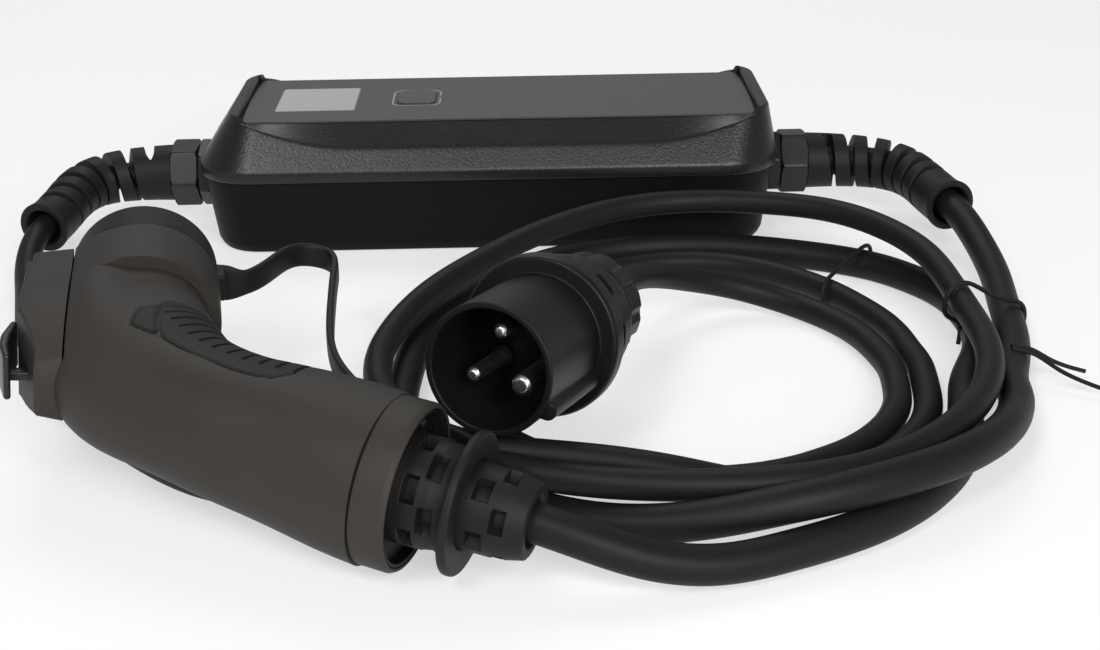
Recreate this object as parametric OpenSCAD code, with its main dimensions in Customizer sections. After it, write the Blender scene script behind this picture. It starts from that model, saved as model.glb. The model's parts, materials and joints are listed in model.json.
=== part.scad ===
// Portable EV charger: a control box with a short mains lead and a vehicle lead, both coiled in front.
// Millimetres. Origin at the bottom centre of the box, X along the box, Y away from the viewer, Z up.

/* [Case] */
// Length of the case
case_l = 260; // [220:300]
// Width of the case
case_w = 108; // [96:120]
// Plan corner radius of the case
corner_r = 26; // [18:32]
// Height of the joint between tub and cover
seam_z = 34.5; // [30:40]
// Height of the upright band of the cover
band_h = 5; // [3:8]
// Height of the raised lips at both ends of the panel
top_z = 61; // [58:66]
// Shift of the raised top towards the right
top_shift = 5; // [0:8]
// Inset of the tub under the cover at the joint
tub_inset = 1.6; // [0.5:3]
// Draft of the tub from joint to floor
tub_draft = 4; // [2:6]
// Thickness of the tub floor
floor_t = 3; // [2:5]

/* [Panel] */
// Length of the label panel
panel_l = 230; // [180:250]
// Width of the label panel
panel_w = 73; // [60:80]
// Outward bow of the panel ends
panel_bow = 1.5; // [0:3]
// Thickness of the label panel
panel_t = 0.8; // [0.5:1.5]
// Depth of the panel face below the end lips
panel_depth = 3; // [1:4]
// Length of the display window
window_l = 36.5; // [25:45]
// Width of the display window
window_w = 39.5; // [25:50]
// Centre of the display window along the case
window_x = -78.6; // [-90:-60]
// Length of the push button
button_l = 17.4; // [12:22]
// Width of the push button
button_w = 22; // [14:28]
// Centre of the push button along the case
button_x = -33.1; // [-45:0]
// Travel of the push button
button_travel = 0.8; // [0.4:1.5]

/* [Glands] */
// Height of the gland axis
gland_z = 24.3; // [20:26]
// Diameter of the gland thread
gland_d = 16; // [14:18]
// Width across corners of the gland hexagons
gland_hex = 30; // [26:34]
// Outer diameter of the bend protector at the nut
protector_d1 = 24; // [20:28]
// Outer diameter of the bend protector at the mouth
protector_d2 = 20; // [17:24]
// Depth of the bore in the protector mouth
protector_bore_l = 14; // [8:20]

/* [Cords] */
// Diameter of the mains cord
plug_cord_d = 10.2; // [8:12]
// Diameter of the vehicle cord
car_cord_d = 12.4; // [10:14]
// Inner radius of the mains coil
plug_coil_r1 = 62; // [55:66]
// Outer radius of the mains coil
plug_coil_r2 = 84; // [82:85]
// Inner radius of the vehicle coil
car_coil_r1 = 86.5; // [86.2:88]
// Outer radius of the vehicle coil
car_coil_r2 = 112; // [108:112]
// Diameter of the twist ties
tie_d = 1.8; // [1:3]

/* [Connector] */
// Outer diameter of the grip collar
collar_d = 52; // [46:58]
// Outer diameter of the nose barrel
barrel_d = 52; // [48:58]
// Length of the nose barrel
barrel_l = 29; // [20:36]
// Outer diameter of the contact nose
nose_d = 44; // [40:46]
// Length of the contact nose
nose_l = 17; // [12:18]
// Length of the dust cap
cap_l = 20; // [18:26]
// Wall of the dust cap
cap_wall = 3.4; // [2:5]
// Diameter of the contact insert
insert_d = 36; // [30:38]
// Diameter of the latch pin
latch_pin_d = 3; // [2:4]
// Width of the latch arm
latch_w = 9; // [6:12]
// Diameter of the boot next to the collar
boot_d1 = 34; // [28:38]
// Diameter of the boot behind the strap ring
boot_d2 = 27; // [22:30]

/* [Plug] */
// Outer diameter of the plug shroud
shroud_d = 44; // [40:48]
// Length of the plug shroud
shroud_l = 40; // [34:46]
// Wall of the plug shroud
shroud_wall = 2.2; // [1.5:3]
// Outer diameter of the plug flange
flange_d = 56; // [50:60]
// Diameter of the line and neutral pins
pin_d = 5; // [4:6]
// Diameter of the earth pin
earth_d = 7; // [5:8]
// Radius of the pin circle
pin_circle = 10.5; // [9:12]
// Outer diameter of the plug gland nut
nut_d = 39; // [32:42]

/* [Circuit] */
// Length of a relay
relay_l = 30; // [20:40]
// Width of a relay
relay_w = 14; // [10:16]
// Height of a relay
relay_h = 20; // [14:24]
// Length of the power module
power_l = 42; // [30:46]
// Width of the power module
power_w = 28; // [20:36]
// Height of the power module
power_h = 18; // [12:24]
// Width of a terminal block
block_w = 9.6; // [8:10]
// Height of a terminal block
block_h = 11; // [8:14]

/* [Fits] */
// Gap round the push button, the display window and the label panel
slip = 0.3; // [0.1:0.5]
// Radial gap of turning and pushed pins
pin_gap = 0.05; // [0.02:0.1]

/* [Hidden] */
$fn = 48;
wall = 2.6;
deck_z = top_z - panel_depth - panel_t;
roof_z = deck_z - wall;
cavity_l = case_l - 2 * (tub_inset + tub_draft + wall);
cavity_w = case_w - 2 * (tub_inset + tub_draft + wall);
cavity_r = corner_r - 8;
lip_l = panel_l + 2 * 5.6;
lip_w = case_w - 27;
lip_r = 14;
deck_y = panel_w / 2;
screw_x = 104;
screw_y = 33;
screw_d = 3;
screw_head_d = 6;
board_z = 12;
board_t = 1.6;
board_x = screw_x - 14;
board_y = screw_y - 5;
relay_x = screw_x - 84;
power_x = -screw_x + 59;
block_x1 = 14 - board_x;
block_x2 = board_x + 2;
block_gap = 0.4;
insert_t = 8;
pin_neck = 0.5;
fin_turns = 12;
fin_depth = 3;
show_board_z = roof_z - 6.8;
show_x1 = -92;
show_x2 = -18;
show_y = 26;
pad_x = case_l / 2 + 0.2;
hex_t = 4.5;
washer_t = 1;
nut_t = 10;
collar_t = 4;
gland_end = pad_x + hex_t + washer_t + nut_t + collar_t;
seal_w = 2;
seal_h = 1.2;
coil_c = [77, -214];
grip_pos = [-19.5, -322.7, 26.4];
grip_turn = [0, 8, -20];
head_pos = [-135.4, 75.8, 0];
head_turn = 30;
seat_p = -23.5;
strap_x = 16;
strap_ring_d = 44;
boot_end = 38;
latch_x = -33;
latch_y = -26;
plug_pos = [2.5, -283, 46];
strap_end = grip_pos + turned([strap_x + 1.5, strap_ring_d / 2 - 0.4, 0]);
plug_turn = [-96.9, 0, -24.4];
body_end = shroud_l + 35;
nut_end = body_end + 20;
left_path = [[-gland_end, 0, gland_z], [-200, 0, gland_z], [-185, -22, 21], [-196, -56, 20]];
right_path = [[gland_end, 0, gland_z], [204, 0, gland_z], [194, -23, 21], [204, -58, 20]];
left_bore = mouth_back(left_path);
right_bore = mouth_back(right_path);
plug_lead_route = [
    left_bore, [-196, -56, 20], [-200, -82, 14], [-197, -107, 8.5], [-190, -133, 5.6], [-180, -159, 5.2],
    [-167, -184, 5.2], [-151, -209, 5.2], [-135, -231, 5.2], [-118, -252, 5.2], [-101, -269, 5.2],
    [-81, -281, 5.2], [-58, -284, 7], [-33, -284, 12.5], [-8, -290, 17.9], [18, -301, 18.5], [48, -308, 18],
    [74, -309.5, 18], [102, -306.5, 18], [124, -298, 18], [144, -283, 18], [160, -264, 18], [173, -240, 18],
    [181, -209, 18.5], [182, -180, 19], [181, -153, 20.5], [178, -126, 22.5], [167, -100, 24.5],
    [147, -79, 26], [121, -67, 26], [92, -62.5, 26], [63, -68, 26], [37, -83, 25.5], [14, -103, 24],
    [-6, -126, 22], [-22, -151, 20.5], [-33, -179, 19], [-38, -208, 18.2], [-35, -237, 18],
    [-24, -261, 18], [-4, -279, 18], [20, -285, 18], [42, -283, 16], [64, -283, 12], [85, -281.5, 6.5]];
plug_tail_route = [
    [115, -146, 7], [97, -140, 12], [80, -143, 18.5], [66, -152, 25], [56, -165, 30], [49, -180, 32.4],
    plug_at(nut_end), plug_at(nut_end - 8)];
car_lead_route = [
    right_bore, [204, -58, 20], [209, -86, 14], [209.5, -114, 9], [206, -142, 6.8], [202, -168, 6.4],
    [196, -193, 6.3], [187, -218, 6.3]];
car_tail_route = [
    grip_at(boot_end - 10), grip_at(boot_end), [32, -340, 16.8], [50, -341, 10.8], [70, -338, 7],
    [92, -330, 6.4], [112, -320, 6.3]];
strap_route = [
    head_at(28.4, 8), head_at(33, 8), [-82, -184, 41.6], [-77, -169, 41], [-69, -157, 39.5],
    [-60.5, -157, 37.5], [-56.5, -171, 35.5], [-55.5, -194, 33.5], [-54, -216, 31.5], [-50, -239, 30],
    [-41, -261, 29.2], [-28, -280, 29], [-12, -293, 28.6], [-1, -301.5, 26.6], strap_end];
earth_a = 30;
tie_in = (plug_coil_r2 + car_coil_r1) / 2;
tie_out = car_coil_r2 + 1.4;
tie_far_path = [
    [tie_in, 1], [tie_in, 11], [tie_in + 4, 14.2], [99, 14.8], [tie_out - 4, 14.2], [tie_out, 11],
    [tie_out, 1]];
tie_near_path = [
    [tie_in, 1], [tie_in, 11], [90, 17], [94.5, 23], [100, 25.6], [105.5, 23], [110, 17], [tie_out, 11],
    [tie_out, 1]];
grip_stations = [
    [-9.5, 0, 26, 26], [-20, 1.4, 25.8, 25.8], [-33, 3, 25, 25], [-46, 4, 23.5, 24], [-58, 5, 22.5, 23],
    [-70, 7.5, 22, 22.5], [-81, 11, 22.5, 22.5], [-90, 15, 24, 23.5], [-98, 20, 25.5, 24.5],
    [-105, 27, 26, 25.5], [-111, 36, 26, 26], [-116, 43, 26, 26],
    [head_pos[0] + barrel_l * sin(head_turn), head_pos[1] - barrel_l * cos(head_turn), 26, 26]];
shell_colour = [0.14, 0.14, 0.145];
tub_colour = [0.1, 0.1, 0.105];
panel_colour = [0.32, 0.33, 0.31];
window_colour = [0.68, 0.67, 0.66];
rubber_colour = [0.12, 0.12, 0.12];
grip_colour = [0.16, 0.16, 0.165];
metal_colour = [0.75, 0.75, 0.76];
board_colour = [0.1, 0.35, 0.2];
seal_colour = [0.25, 0.25, 0.27];
relay_colour = [0.12, 0.2, 0.42];
brass_colour = [0.75, 0.62, 0.35];
cord_colour = [0.13, 0.13, 0.135];

function unit(v) = v / norm(v);
function bez(p, t) =
    pow(1 - t, 3) * p[0] + 3 * pow(1 - t, 2) * t * p[1] + 3 * (1 - t) * t * t * p[2] + t * t * t * p[3];
function bez_dir(p, t) =
    unit((1 - t) * (1 - t) * (p[1] - p[0]) + 2 * (1 - t) * t * (p[2] - p[1]) + t * t * (p[3] - p[2]));
function plug_at(z) =
    let (up = plug_turn[0], round = plug_turn[2])
    plug_pos + z * [sin(up) * sin(round), -sin(up) * cos(round), cos(up)];
function mouth_back(p) = p[3] - protector_bore_l * bez_dir(p, 1);
function turned(v) =
    let (x = v[0] * cos(grip_turn[1]) + v[2] * sin(grip_turn[1]))
    let (c = cos(grip_turn[2]), s = sin(grip_turn[2]))
    [x * c - v[1] * s, x * s + v[1] * c, v[2] * cos(grip_turn[1]) - v[0] * sin(grip_turn[1])];
function grip_at(x) = grip_pos + turned([x, 0, 0]);
function head_at(x, y) =
    let (c = cos(head_turn), s = sin(head_turn))
    grip_pos + turned(head_pos + [x * c - y * s, x * s + y * c, 0]);
function side_of(d, ref) = unit(cross(d, ref));
function ring_at(c, d, r, sides, ref = [0, 0, 1]) =
    let (q = side_of(d, ref), w = cross(d, q))
    [for (k = [0:sides - 1]) c + r * (cos(360 * k / sides) * q + sin(360 * k / sides) * w)];
function path_dir(p, i) = unit(p[min(i + 1, len(p) - 1)] - p[max(i - 1, 0)]);
function super(a, e) = sign(a) * pow(abs(a), e);

// Closed surface through a list of rings with the same number of points
module skin(rings) {
    n = len(rings[0]);
    m = len(rings);
    sides = [for (i = [0:m - 2]) for (j = [0:n - 1]) each [
        [i * n + j, (i + 1) * n + j, i * n + (j + 1) % n],
        [(i + 1) * n + j, (i + 1) * n + (j + 1) % n, i * n + (j + 1) % n]]];
    polyhedron(
        points = [for (r = rings) each r],
        faces = concat([[for (j = [0:n - 1]) j]], sides, [[for (j = [n - 1:-1:0]) (m - 1) * n + j]]));
}

// Round cord through hand-placed points
module tube(route, d, sides, ref = [0, 0, 1]) {
    skin([for (i = [0:len(route) - 1]) ring_at(route[i], path_dir(route, i), d / 2, sides, ref)]);
}

module plate(l, w, r, h) {
    linear_extrude(h)
        round_2d(l, w, r);
}

// Rectangle with round corners built from plain shapes
module round_2d(l, w, r) {
    square([l - 2 * r, w], center = true);
    square([l, w - 2 * r], center = true);
    for (sx = [-1, 1])
        for (sy = [-1, 1])
            translate([sx * (l / 2 - r), sy * (w / 2 - r)])
                circle(r);
}

// Panel outline with bowed ends
module panel_2d(grow) {
    bow_r = (pow(panel_w / 2, 2) + panel_bow * panel_bow) / (2 * panel_bow);
    intersection() {
        square([panel_l + 2 * grow, panel_w + 2 * grow], center = true);
        translate([bow_r - panel_l / 2 - grow, 0])
            circle(bow_r, $fn = 360);
        translate([panel_l / 2 + grow - bow_r, 0])
            circle(bow_r, $fn = 360);
    }
}

module tub_slice(z, inset, r) {
    translate([0, 0, z])
        linear_extrude(0.01)
            round_2d(case_l - 2 * inset, case_w - 2 * inset, r);
}

module tub() {
    color(tub_colour)
        difference() {
            union() {
                difference() {
                    hull() {
                        tub_slice(0, tub_inset + tub_draft + 4, corner_r - 9);
                        tub_slice(4, tub_inset + tub_draft, corner_r - 5);
                        tub_slice(seam_z - 0.01, tub_inset, corner_r - 1.6);
                    }
                    translate([0, 0, floor_t])
                        plate(cavity_l, cavity_w, cavity_r, seam_z);
                }
                for (s = [-1, 1])
                    translate([s * cavity_l / 2, 0, gland_z])
                        rotate([0, s * 90, 0])
                            cylinder(h = pad_x - cavity_l / 2, d = 20);
                for (sx = [-1, 1])
                    for (sy = [-1, 1]) {
                        translate([sx * screw_x, sy * screw_y, floor_t - 1])
                            cylinder(h = seam_z - floor_t + 1, d = 9);
                        translate([sx * board_x, sy * board_y, floor_t - 1])
                            cylinder(h = board_z - floor_t + 1, d = 7);
                    }
            }
            translate([0, 0, seam_z - seal_h])
                linear_extrude(seal_h + 1)
                    seal_2d();
            for (s = [-1, 1])
                translate([s * (cavity_l / 2 - 1), 0, gland_z])
                    rotate([0, s * 90, 0])
                        cylinder(h = 20, d = gland_d + 0.4);
            for (sx = [-1, 1])
                for (sy = [-1, 1]) {
                    translate([sx * screw_x, sy * screw_y, -1])
                        cylinder(h = seam_z + 2, d = screw_d + 0.4);
                    translate([sx * screw_x, sy * screw_y, -1])
                        cylinder(h = 7, d = screw_head_d + 0.6);
                    translate([sx * board_x, sy * board_y, board_z - 6])
                        cylinder(h = 7, d = 2.5);
                }
        }
}

module seal_2d() {
    difference() {
        round_2d(cavity_l + 6, cavity_w + 6, cavity_r + 3);
        round_2d(cavity_l + 6 - 2 * seal_w, cavity_w + 6 - 2 * seal_w, cavity_r + 3 - seal_w);
    }
}

module case_seal() {
    color(seal_colour)
        translate([0, 0, seam_z - seal_h])
            linear_extrude(seal_h)
                seal_2d();
}

// Height of the hollowed rim at one place along the case
function rim_z(x) =
    top_z - 13 + 13 * pow(max(0, 1 - min(x - top_shift + lip_l / 2, top_shift + lip_l / 2 - x) / 45), 1.6);
function rim_at(z) = case_w / 2 - (z - seam_z - band_h) * 13.5 / (top_z - seam_z - band_h);
function scoop_slope(x) = (deck_z - rim_z(x)) / (rim_at(rim_z(x)) - deck_y);
function scoop_ring(x) = [
    [x, -70, top_z + 9], [x, -70, deck_z - (70 - deck_y) * scoop_slope(x)], [x, -deck_y, deck_z],
    [x, deck_y, deck_z], [x, 70, deck_z - (70 - deck_y) * scoop_slope(x)], [x, 70, top_z + 9]];

// Cutter for the hollow along both long sides of the panel
module scoop() {
    x1 = top_shift - panel_l / 2 + panel_bow;
    x2 = top_shift + panel_l / 2 - panel_bow;
    skin([for (i = [0:24]) scoop_ring(x1 + (x2 - x1) * (0.5 - 0.5 * cos(180 * i / 24)))]);
}

module cover_slice(z, l, w, r, x) {
    translate([x, 0, z])
        linear_extrude(0.01)
            round_2d(l, w, r);
}

module cover() {
    color(shell_colour)
        difference() {
            union() {
                difference() {
                    union() {
                        translate([0, 0, seam_z])
                            plate(case_l, case_w, corner_r, band_h);
                        hull() {
                            cover_slice(seam_z + band_h - 0.01, case_l, case_w, corner_r, 0);
                            cover_slice(top_z - 1.2, lip_l + 1, lip_w + 1.4, lip_r + 0.6, top_shift);
                            cover_slice(top_z - 0.01, lip_l - 1, lip_w - 0.6, lip_r - 0.4, top_shift);
                        }
                    }
                    hull() {
                        cover_slice(seam_z - 0.01, cavity_l, cavity_w, cavity_r, 0);
                        cover_slice(seam_z + 6, cavity_l - 2, cavity_w - 4, cavity_r, 0);
                        cover_slice(roof_z - 0.01, panel_l + 3, panel_w - 4, 8, top_shift - 1.5);
                    }
                }
                for (sx = [-1, 1])
                    for (sy = [-1, 1])
                        translate([sx * screw_x, sy * screw_y, seam_z])
                            cylinder(h = roof_z - seam_z + 1, d = 8.4);
                for (x = [show_x1, show_x2])
                    for (sy = [-1, 1])
                        translate([x, sy * show_y, show_board_z + board_t])
                            cylinder(h = roof_z - show_board_z - board_t + 1, d = 6);
            }
            scoop();
            translate([top_shift, 0, deck_z])
                linear_extrude(20)
                    panel_2d(slip);
            translate([window_x, 0, roof_z - 1])
                plate(window_l - 4, window_w - 4, 2, 9);
            translate([button_x, 0, roof_z - 1])
                plate(button_l + 2 * slip, button_w + 2 * slip, 4 + slip, 9);
            for (sx = [-1, 1])
                for (sy = [-1, 1])
                    translate([sx * screw_x, sy * screw_y, seam_z - 1])
                        cylinder(h = 11, d = screw_d + 2 * pin_gap);
            for (x = [show_x1, show_x2])
                for (sy = [-1, 1])
                    translate([x, sy * show_y, show_board_z + board_t - 1])
                        cylinder(h = 6, d = 2 + 2 * pin_gap);
        }
}

module label_panel() {
    color(panel_colour)
        translate([0, 0, deck_z])
            difference() {
                translate([top_shift, 0, 0])
                    linear_extrude(panel_t)
                        panel_2d(0);
                translate([window_x, 0, -1])
                    plate(window_l + 0.2, window_w + 0.2, 2.1, 3);
                translate([button_x, 0, -1])
                    plate(button_l + 2 * slip, button_w + 2 * slip, 4 + slip, 3);
            }
}

module display_window() {
    color(window_colour)
        translate([window_x, 0, deck_z])
            plate(window_l, window_w, 2, panel_t);
}

module display_module() {
    color(window_colour)
        translate([window_x, 0, show_board_z + board_t])
            plate(window_l - 6, window_w - 6, 1, roof_z - show_board_z - board_t - 0.4);
}

module display_board() {
    color(board_colour)
        difference() {
            translate([show_x1 - 5, -show_y - 5, show_board_z])
                cube([show_x2 - show_x1 + 10, 2 * show_y + 10, board_t]);
            for (x = [show_x1, show_x2])
                for (sy = [-1, 1])
                    translate([x, sy * show_y, show_board_z - 1])
                        cylinder(h = board_t + 2, d = 2.4);
        }
}

module display_board_screws() {
    color(metal_colour)
        for (x = [show_x1, show_x2])
            for (sy = [-1, 1])
                translate([x, sy * show_y, show_board_z]) {
                    translate([0, 0, -1.4])
                        cylinder(h = 1.4, d = 4);
                    translate([0, 0, -0.5])
                        cylinder(h = board_t + 4.5, d = 2);
                }
}

module push_button() {
    color(panel_colour)
        translate([button_x, 0, 0]) {
            translate([0, 0, roof_z - 1.2])
                plate(button_l + 3, button_w + 3, 5.5, 1);
            translate([0, 0, roof_z - 0.5])
                plate(button_l, button_w, 4, deck_z + panel_t + 0.6 - roof_z + 0.5);
        }
}

module tact_switch() {
    color(tub_colour)
        translate([button_x, 0, show_board_z + board_t]) {
            translate([-3, -3, 0])
                cube([6, 6, 2.2]);
            cylinder(h = roof_z - 1.2 - button_travel - 0.05 - show_board_z - board_t, d = 3.4);
        }
}

module circuit_board() {
    color(board_colour)
        difference() {
            translate([-board_x - 6, -board_y - 6, board_z])
                cube([2 * board_x + 12, 2 * board_y + 12, board_t]);
            for (sx = [-1, 1])
                for (sy = [-1, 1])
                    translate([sx * board_x, sy * board_y, board_z - 1])
                        cylinder(h = board_t + 2, d = 3.2);
        }
}

module board_screws() {
    color(metal_colour)
        for (sx = [-1, 1])
            for (sy = [-1, 1])
                translate([sx * board_x, sy * board_y, board_z + board_t]) {
                    cylinder(h = 1.8, d = 5);
                    translate([0, 0, -board_t - 5])
                        cylinder(h = board_t + 5.5, d = 2.4);
                }
}

module relays() {
    color(relay_colour)
        for (y = [-relay_w - 4, 4])
            translate([relay_x, y, board_z + board_t])
                cube([relay_l, relay_w, relay_h]);
}

module leakage_sensor() {
    color(tub_colour)
        translate([75, 0, board_z + board_t])
            difference() {
                cylinder(h = 14, d = 26);
                translate([0, 0, -1])
                    cylinder(h = 16, d = 14);
            }
}

module power_module() {
    color(tub_colour)
        translate([power_x, -power_w / 2, board_z + board_t])
            cube([power_l, power_w, power_h]);
}

module terminal_blocks() {
    color(relay_colour)
        for (x = [block_x1, block_x2])
            for (i = [-1.5:0.5])
                translate([x - 4, i * (block_w + block_gap), board_z + board_t])
                    cube([8, block_w, block_h]);
}

module case_screws() {
    color(metal_colour)
        for (sx = [-1, 1])
            for (sy = [-1, 1])
                translate([sx * screw_x, sy * screw_y, 0]) {
                    translate([0, 0, 3.6])
                        cylinder(h = 2.4, d = screw_head_d);
                    translate([0, 0, 5])
                        cylinder(h = seam_z + 3, d = screw_d);
                }
}

// Places a gland part on its axis, counted outwards from the wall pad
module on_gland(s) {
    translate([s * pad_x, 0, gland_z])
        rotate([0, s * 90, 0])
            children();
}

module gland_body(s) {
    color(rubber_colour)
        on_gland(s)
            difference() {
                union() {
                    rotate([0, 0, 12])
                        cylinder(h = hex_t, d = gland_hex, $fn = 6);
                    translate([0, 0, -12.5])
                        cylinder(h = 12.5 + hex_t + washer_t + 7, d = gland_d);
                }
                translate([0, 0, -20])
                    cylinder(h = 40, d = gland_d - 3);
            }
}

module gland_washer(s) {
    color(seal_colour)
        on_gland(s)
            translate([0, 0, hex_t])
                difference() {
                    cylinder(h = washer_t, d = gland_d + 8);
                    translate([0, 0, -1])
                        cylinder(h = washer_t + 2, d = gland_d + 2 * pin_gap);
                }
}

module gland_nut(s) {
    color(rubber_colour)
        on_gland(s)
            translate([0, 0, hex_t + washer_t])
                difference() {
                    union() {
                        intersection() {
                            rotate([0, 0, 24])
                                cylinder(h = nut_t, d = gland_hex, $fn = 6);
                            cylinder(h = nut_t + 6, d1 = gland_hex + 12, d2 = gland_hex - 9.6);
                        }
                        cylinder(h = nut_t + collar_t, d = 21);
                    }
                    translate([0, 0, -1])
                        cylinder(h = 9, d = gland_d + 2 * pin_gap);
                    translate([0, 0, -1])
                        cylinder(h = nut_t + collar_t + 2, d = car_cord_d + 0.6);
                }
}

module gland_locknut(s) {
    color(rubber_colour)
        on_gland(s)
            translate([0, 0, cavity_l / 2 - pad_x - 4])
                difference() {
                    cylinder(h = 4, d = 20.4, $fn = 6);
                    translate([0, 0, -1])
                        cylinder(h = 6, d = gland_d + 2 * pin_gap);
                }
}

// Radius of the bend protector: a plain collar, a spiral of fins, then a plain sleeve
function protector_r(t, turn) =
    let (r = protector_d1 / 2 - (protector_d1 - protector_d2) / 2 * min(1, t / 0.6))
    let (lap = t * fin_turns + turn)
    t < 0.02 ? r - 2
    : t < 0.14 || t > 0.58 || lap - floor(lap) < 0.6 ? r
    : r - fin_depth;
function protector_ring(p, t) =
    let (d = bez_dir(p, t), q = side_of(d, [0, 0, 1]), w = cross(d, q))
    [for (k = [0:19]) bez(p, t) + protector_r(t, k / 20) * (cos(18 * k) * q + sin(18 * k) * w)];

module bend_protector(p, bore_d) {
    outer = [for (i = [0:60]) protector_ring(p, i / 60)];
    color(rubber_colour)
        skin(concat(outer, [
            ring_at(p[3], bez_dir(p, 1), bore_d / 2, 20),
            ring_at(mouth_back(p), bez_dir(p, 1), bore_d / 2, 20)]));
}

module on_grip() {
    translate(grip_pos)
        rotate(grip_turn)
            children();
}

module on_head() {
    on_grip()
        translate(head_pos)
            rotate([0, 0, head_turn])
                children();
}

// Places a part on the nose axis, counted forwards from the barrel mouth
module on_nose() {
    on_head()
        rotate([-90, 0, 0])
            children();
}

// Places a part on the cord axis of the grip, counted backwards from the collar
module on_boot() {
    on_grip()
        rotate([0, 90, 0])
            children();
}

function grip_dir(i) =
    i == 0 ? [-1, 0, 0]
    : i == len(grip_stations) - 1 ? [-sin(head_turn), cos(head_turn), 0]
    : unit([for (k = [0:1]) grip_stations[i + 1][k] - grip_stations[i - 1][k], 0]);
function grip_point(i, a, grow) =
    let (s = grip_stations[i], d = unit(grip_dir(i)), q = [d[1], -d[0], 0])
    [s[0], s[1], 0] + (s[2] + grow) * super(cos(a), 0.92) * q + [0, 0, (s[3] + grow) * super(sin(a), 0.92)];
function grip_ring(i, grow) = [for (k = [0:35]) grip_point(i, 10 * k, grow)];

function grip_spot(t, a, grow) =
    let (i = floor(t), f = t - i)
    (1 - f) * grip_point(i, a, grow) + f * grip_point(i + 1, a, grow);

// Patch of the grip surface between two depths, used for the inlay and its pocket
module grip_patch(edge, inner, outer) {
    a1 = 12.3 + edge;
    a2 = 72.7 - edge;
    skin([for (t = [8.37:-1:3.37]) concat(
        [for (k = [0:8]) grip_spot(t, a1 + (a2 - a1) * k / 8, outer)],
        [for (k = [8:-1:0]) grip_spot(t, a1 + (a2 - a1) * k / 8, inner)])]);
}

// Block under the head cover that carries its flat seat
module head_seat() {
    hull() {
        translate([seat_p, -3 - 1, -16])
            cube([14, 1, 32]);
        translate([seat_p, -40, -17])
            cube([16, 1, 34]);
        translate([seat_p, -72, -14])
            cube([12, 1, 28]);
    }
}

// Room taken by the head cover outside its flat seat
module seat_cut() {
    translate([seat_p - 30, -73, -30])
        cube([30, 69, 60]);
}

module connector_shell() {
    color(grip_colour) {
        on_grip()
            difference() {
                skin([for (i = [len(grip_stations) - 1:-1:0]) grip_ring(i, 0)]);
                grip_patch(0, -1.7, 3);
                translate(head_pos)
                    rotate([0, 0, head_turn])
                        seat_cut();
            }
        on_head()
            intersection() {
                head_seat();
                translate([-60, -80, -30])
                    cube([80, 80 - barrel_l, 60]);
            }
    }
}

module grip_inlay() {
    color(rubber_colour)
        on_grip()
            grip_patch(0.5, -1.5, 0.5);
}

module head_cover() {
    color(grip_colour)
        on_head()
            difference() {
                hull() {
                    translate([seat_p - 16.5, -5, -14])
                        cube([16.5, 1, 28]);
                    translate([seat_p - 17.5, -36, -16])
                        cube([17.5, 1, 32]);
                    translate([seat_p - 9, -44, -16])
                        cube([9, 1, 32]);
                    translate([seat_p - 7, -72, -12])
                        cube([7, 1, 24]);
                }
                translate([latch_x - 4.5, -80, -latch_w / 2 - 1])
                    cube([seat_p - latch_x + 4.5 + 0.001, 90, latch_w + 2]);
                translate([-60, -66, -latch_w / 2 - 1])
                    cube([40, 24, latch_w + 2]);
                translate([-60, -68, -9])
                    cube([24.5, 28, 18]);
                translate([latch_x, latch_y, -13])
                    cylinder(h = 26, d = latch_pin_d);
            }
}

module latch_lever() {
    color(shell_colour)
        on_head()
            difference() {
                union() {
                    translate([latch_x - 2, -62, -latch_w / 2])
                        cube([4, 72, latch_w]);
                    translate([latch_x, latch_y, -latch_w / 2])
                        cylinder(h = latch_w, d = 7);
                    translate([latch_x - 2, 9, -latch_w / 2])
                        cube([8, 4, latch_w]);
                    translate([latch_x - 8, -60, -latch_w / 2])
                        cube([7, 6, latch_w]);
                    translate([latch_x - 10.5, -66, -8])
                        cube([3.5, 24, 16]);
                }
                translate([latch_x, latch_y, -20])
                    cylinder(h = 40, d = latch_pin_d + 2 * pin_gap);
            }
}

module latch_pin() {
    color(metal_colour)
        on_head()
            translate([latch_x, latch_y, -13])
                cylinder(h = 26, d = latch_pin_d);
}

module nose_barrel() {
    color(grip_colour)
        difference() {
            union() {
                on_nose()
                    rotate_extrude($fn = 72)
                        polygon([
                            [0, -barrel_l], [barrel_d / 2, -barrel_l], [barrel_d / 2, -1.5],
                            [barrel_d / 2 - 1.5, 0], [nose_d / 2, 0], [nose_d / 2, nose_l - 1],
                            [nose_d / 2 - 1, nose_l], [0, nose_l]]);
                on_head()
                    intersection() {
                        head_seat();
                        translate([-60, -barrel_l, -30])
                            cube([80, barrel_l + 5, 60]);
                    }
            }
            on_nose()
                translate([0, 0, -barrel_l + 6])
                    cylinder(h = barrel_l + nose_l, d = insert_d + 2 * pin_gap, $fn = 72);
            on_head()
                seat_cut();
        }
}

contact_spots = [[-8, 6.5, 6], [8, 6.5, 6], [0, -9, 5], [-10.5, -4.5, 3.5], [10.5, -4.5, 3.5]];

module contact_insert() {
    color(tub_colour)
        on_nose()
            difference() {
                translate([0, 0, -barrel_l + 6])
                    cylinder(h = barrel_l - 6 + nose_l - 4, d = insert_d, $fn = 72);
                for (c = contact_spots)
                    translate([c[0], c[1], -10])
                        cylinder(h = 40, d = c[2]);
            }
}

module contact_sleeves() {
    color(brass_colour)
        on_nose()
            for (c = contact_spots)
                translate([c[0], c[1], -10])
                    difference() {
                        cylinder(h = 20, d = c[2]);
                        translate([0, 0, 3])
                            cylinder(h = 20, d = c[2] - 1.6);
                    }
}

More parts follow.
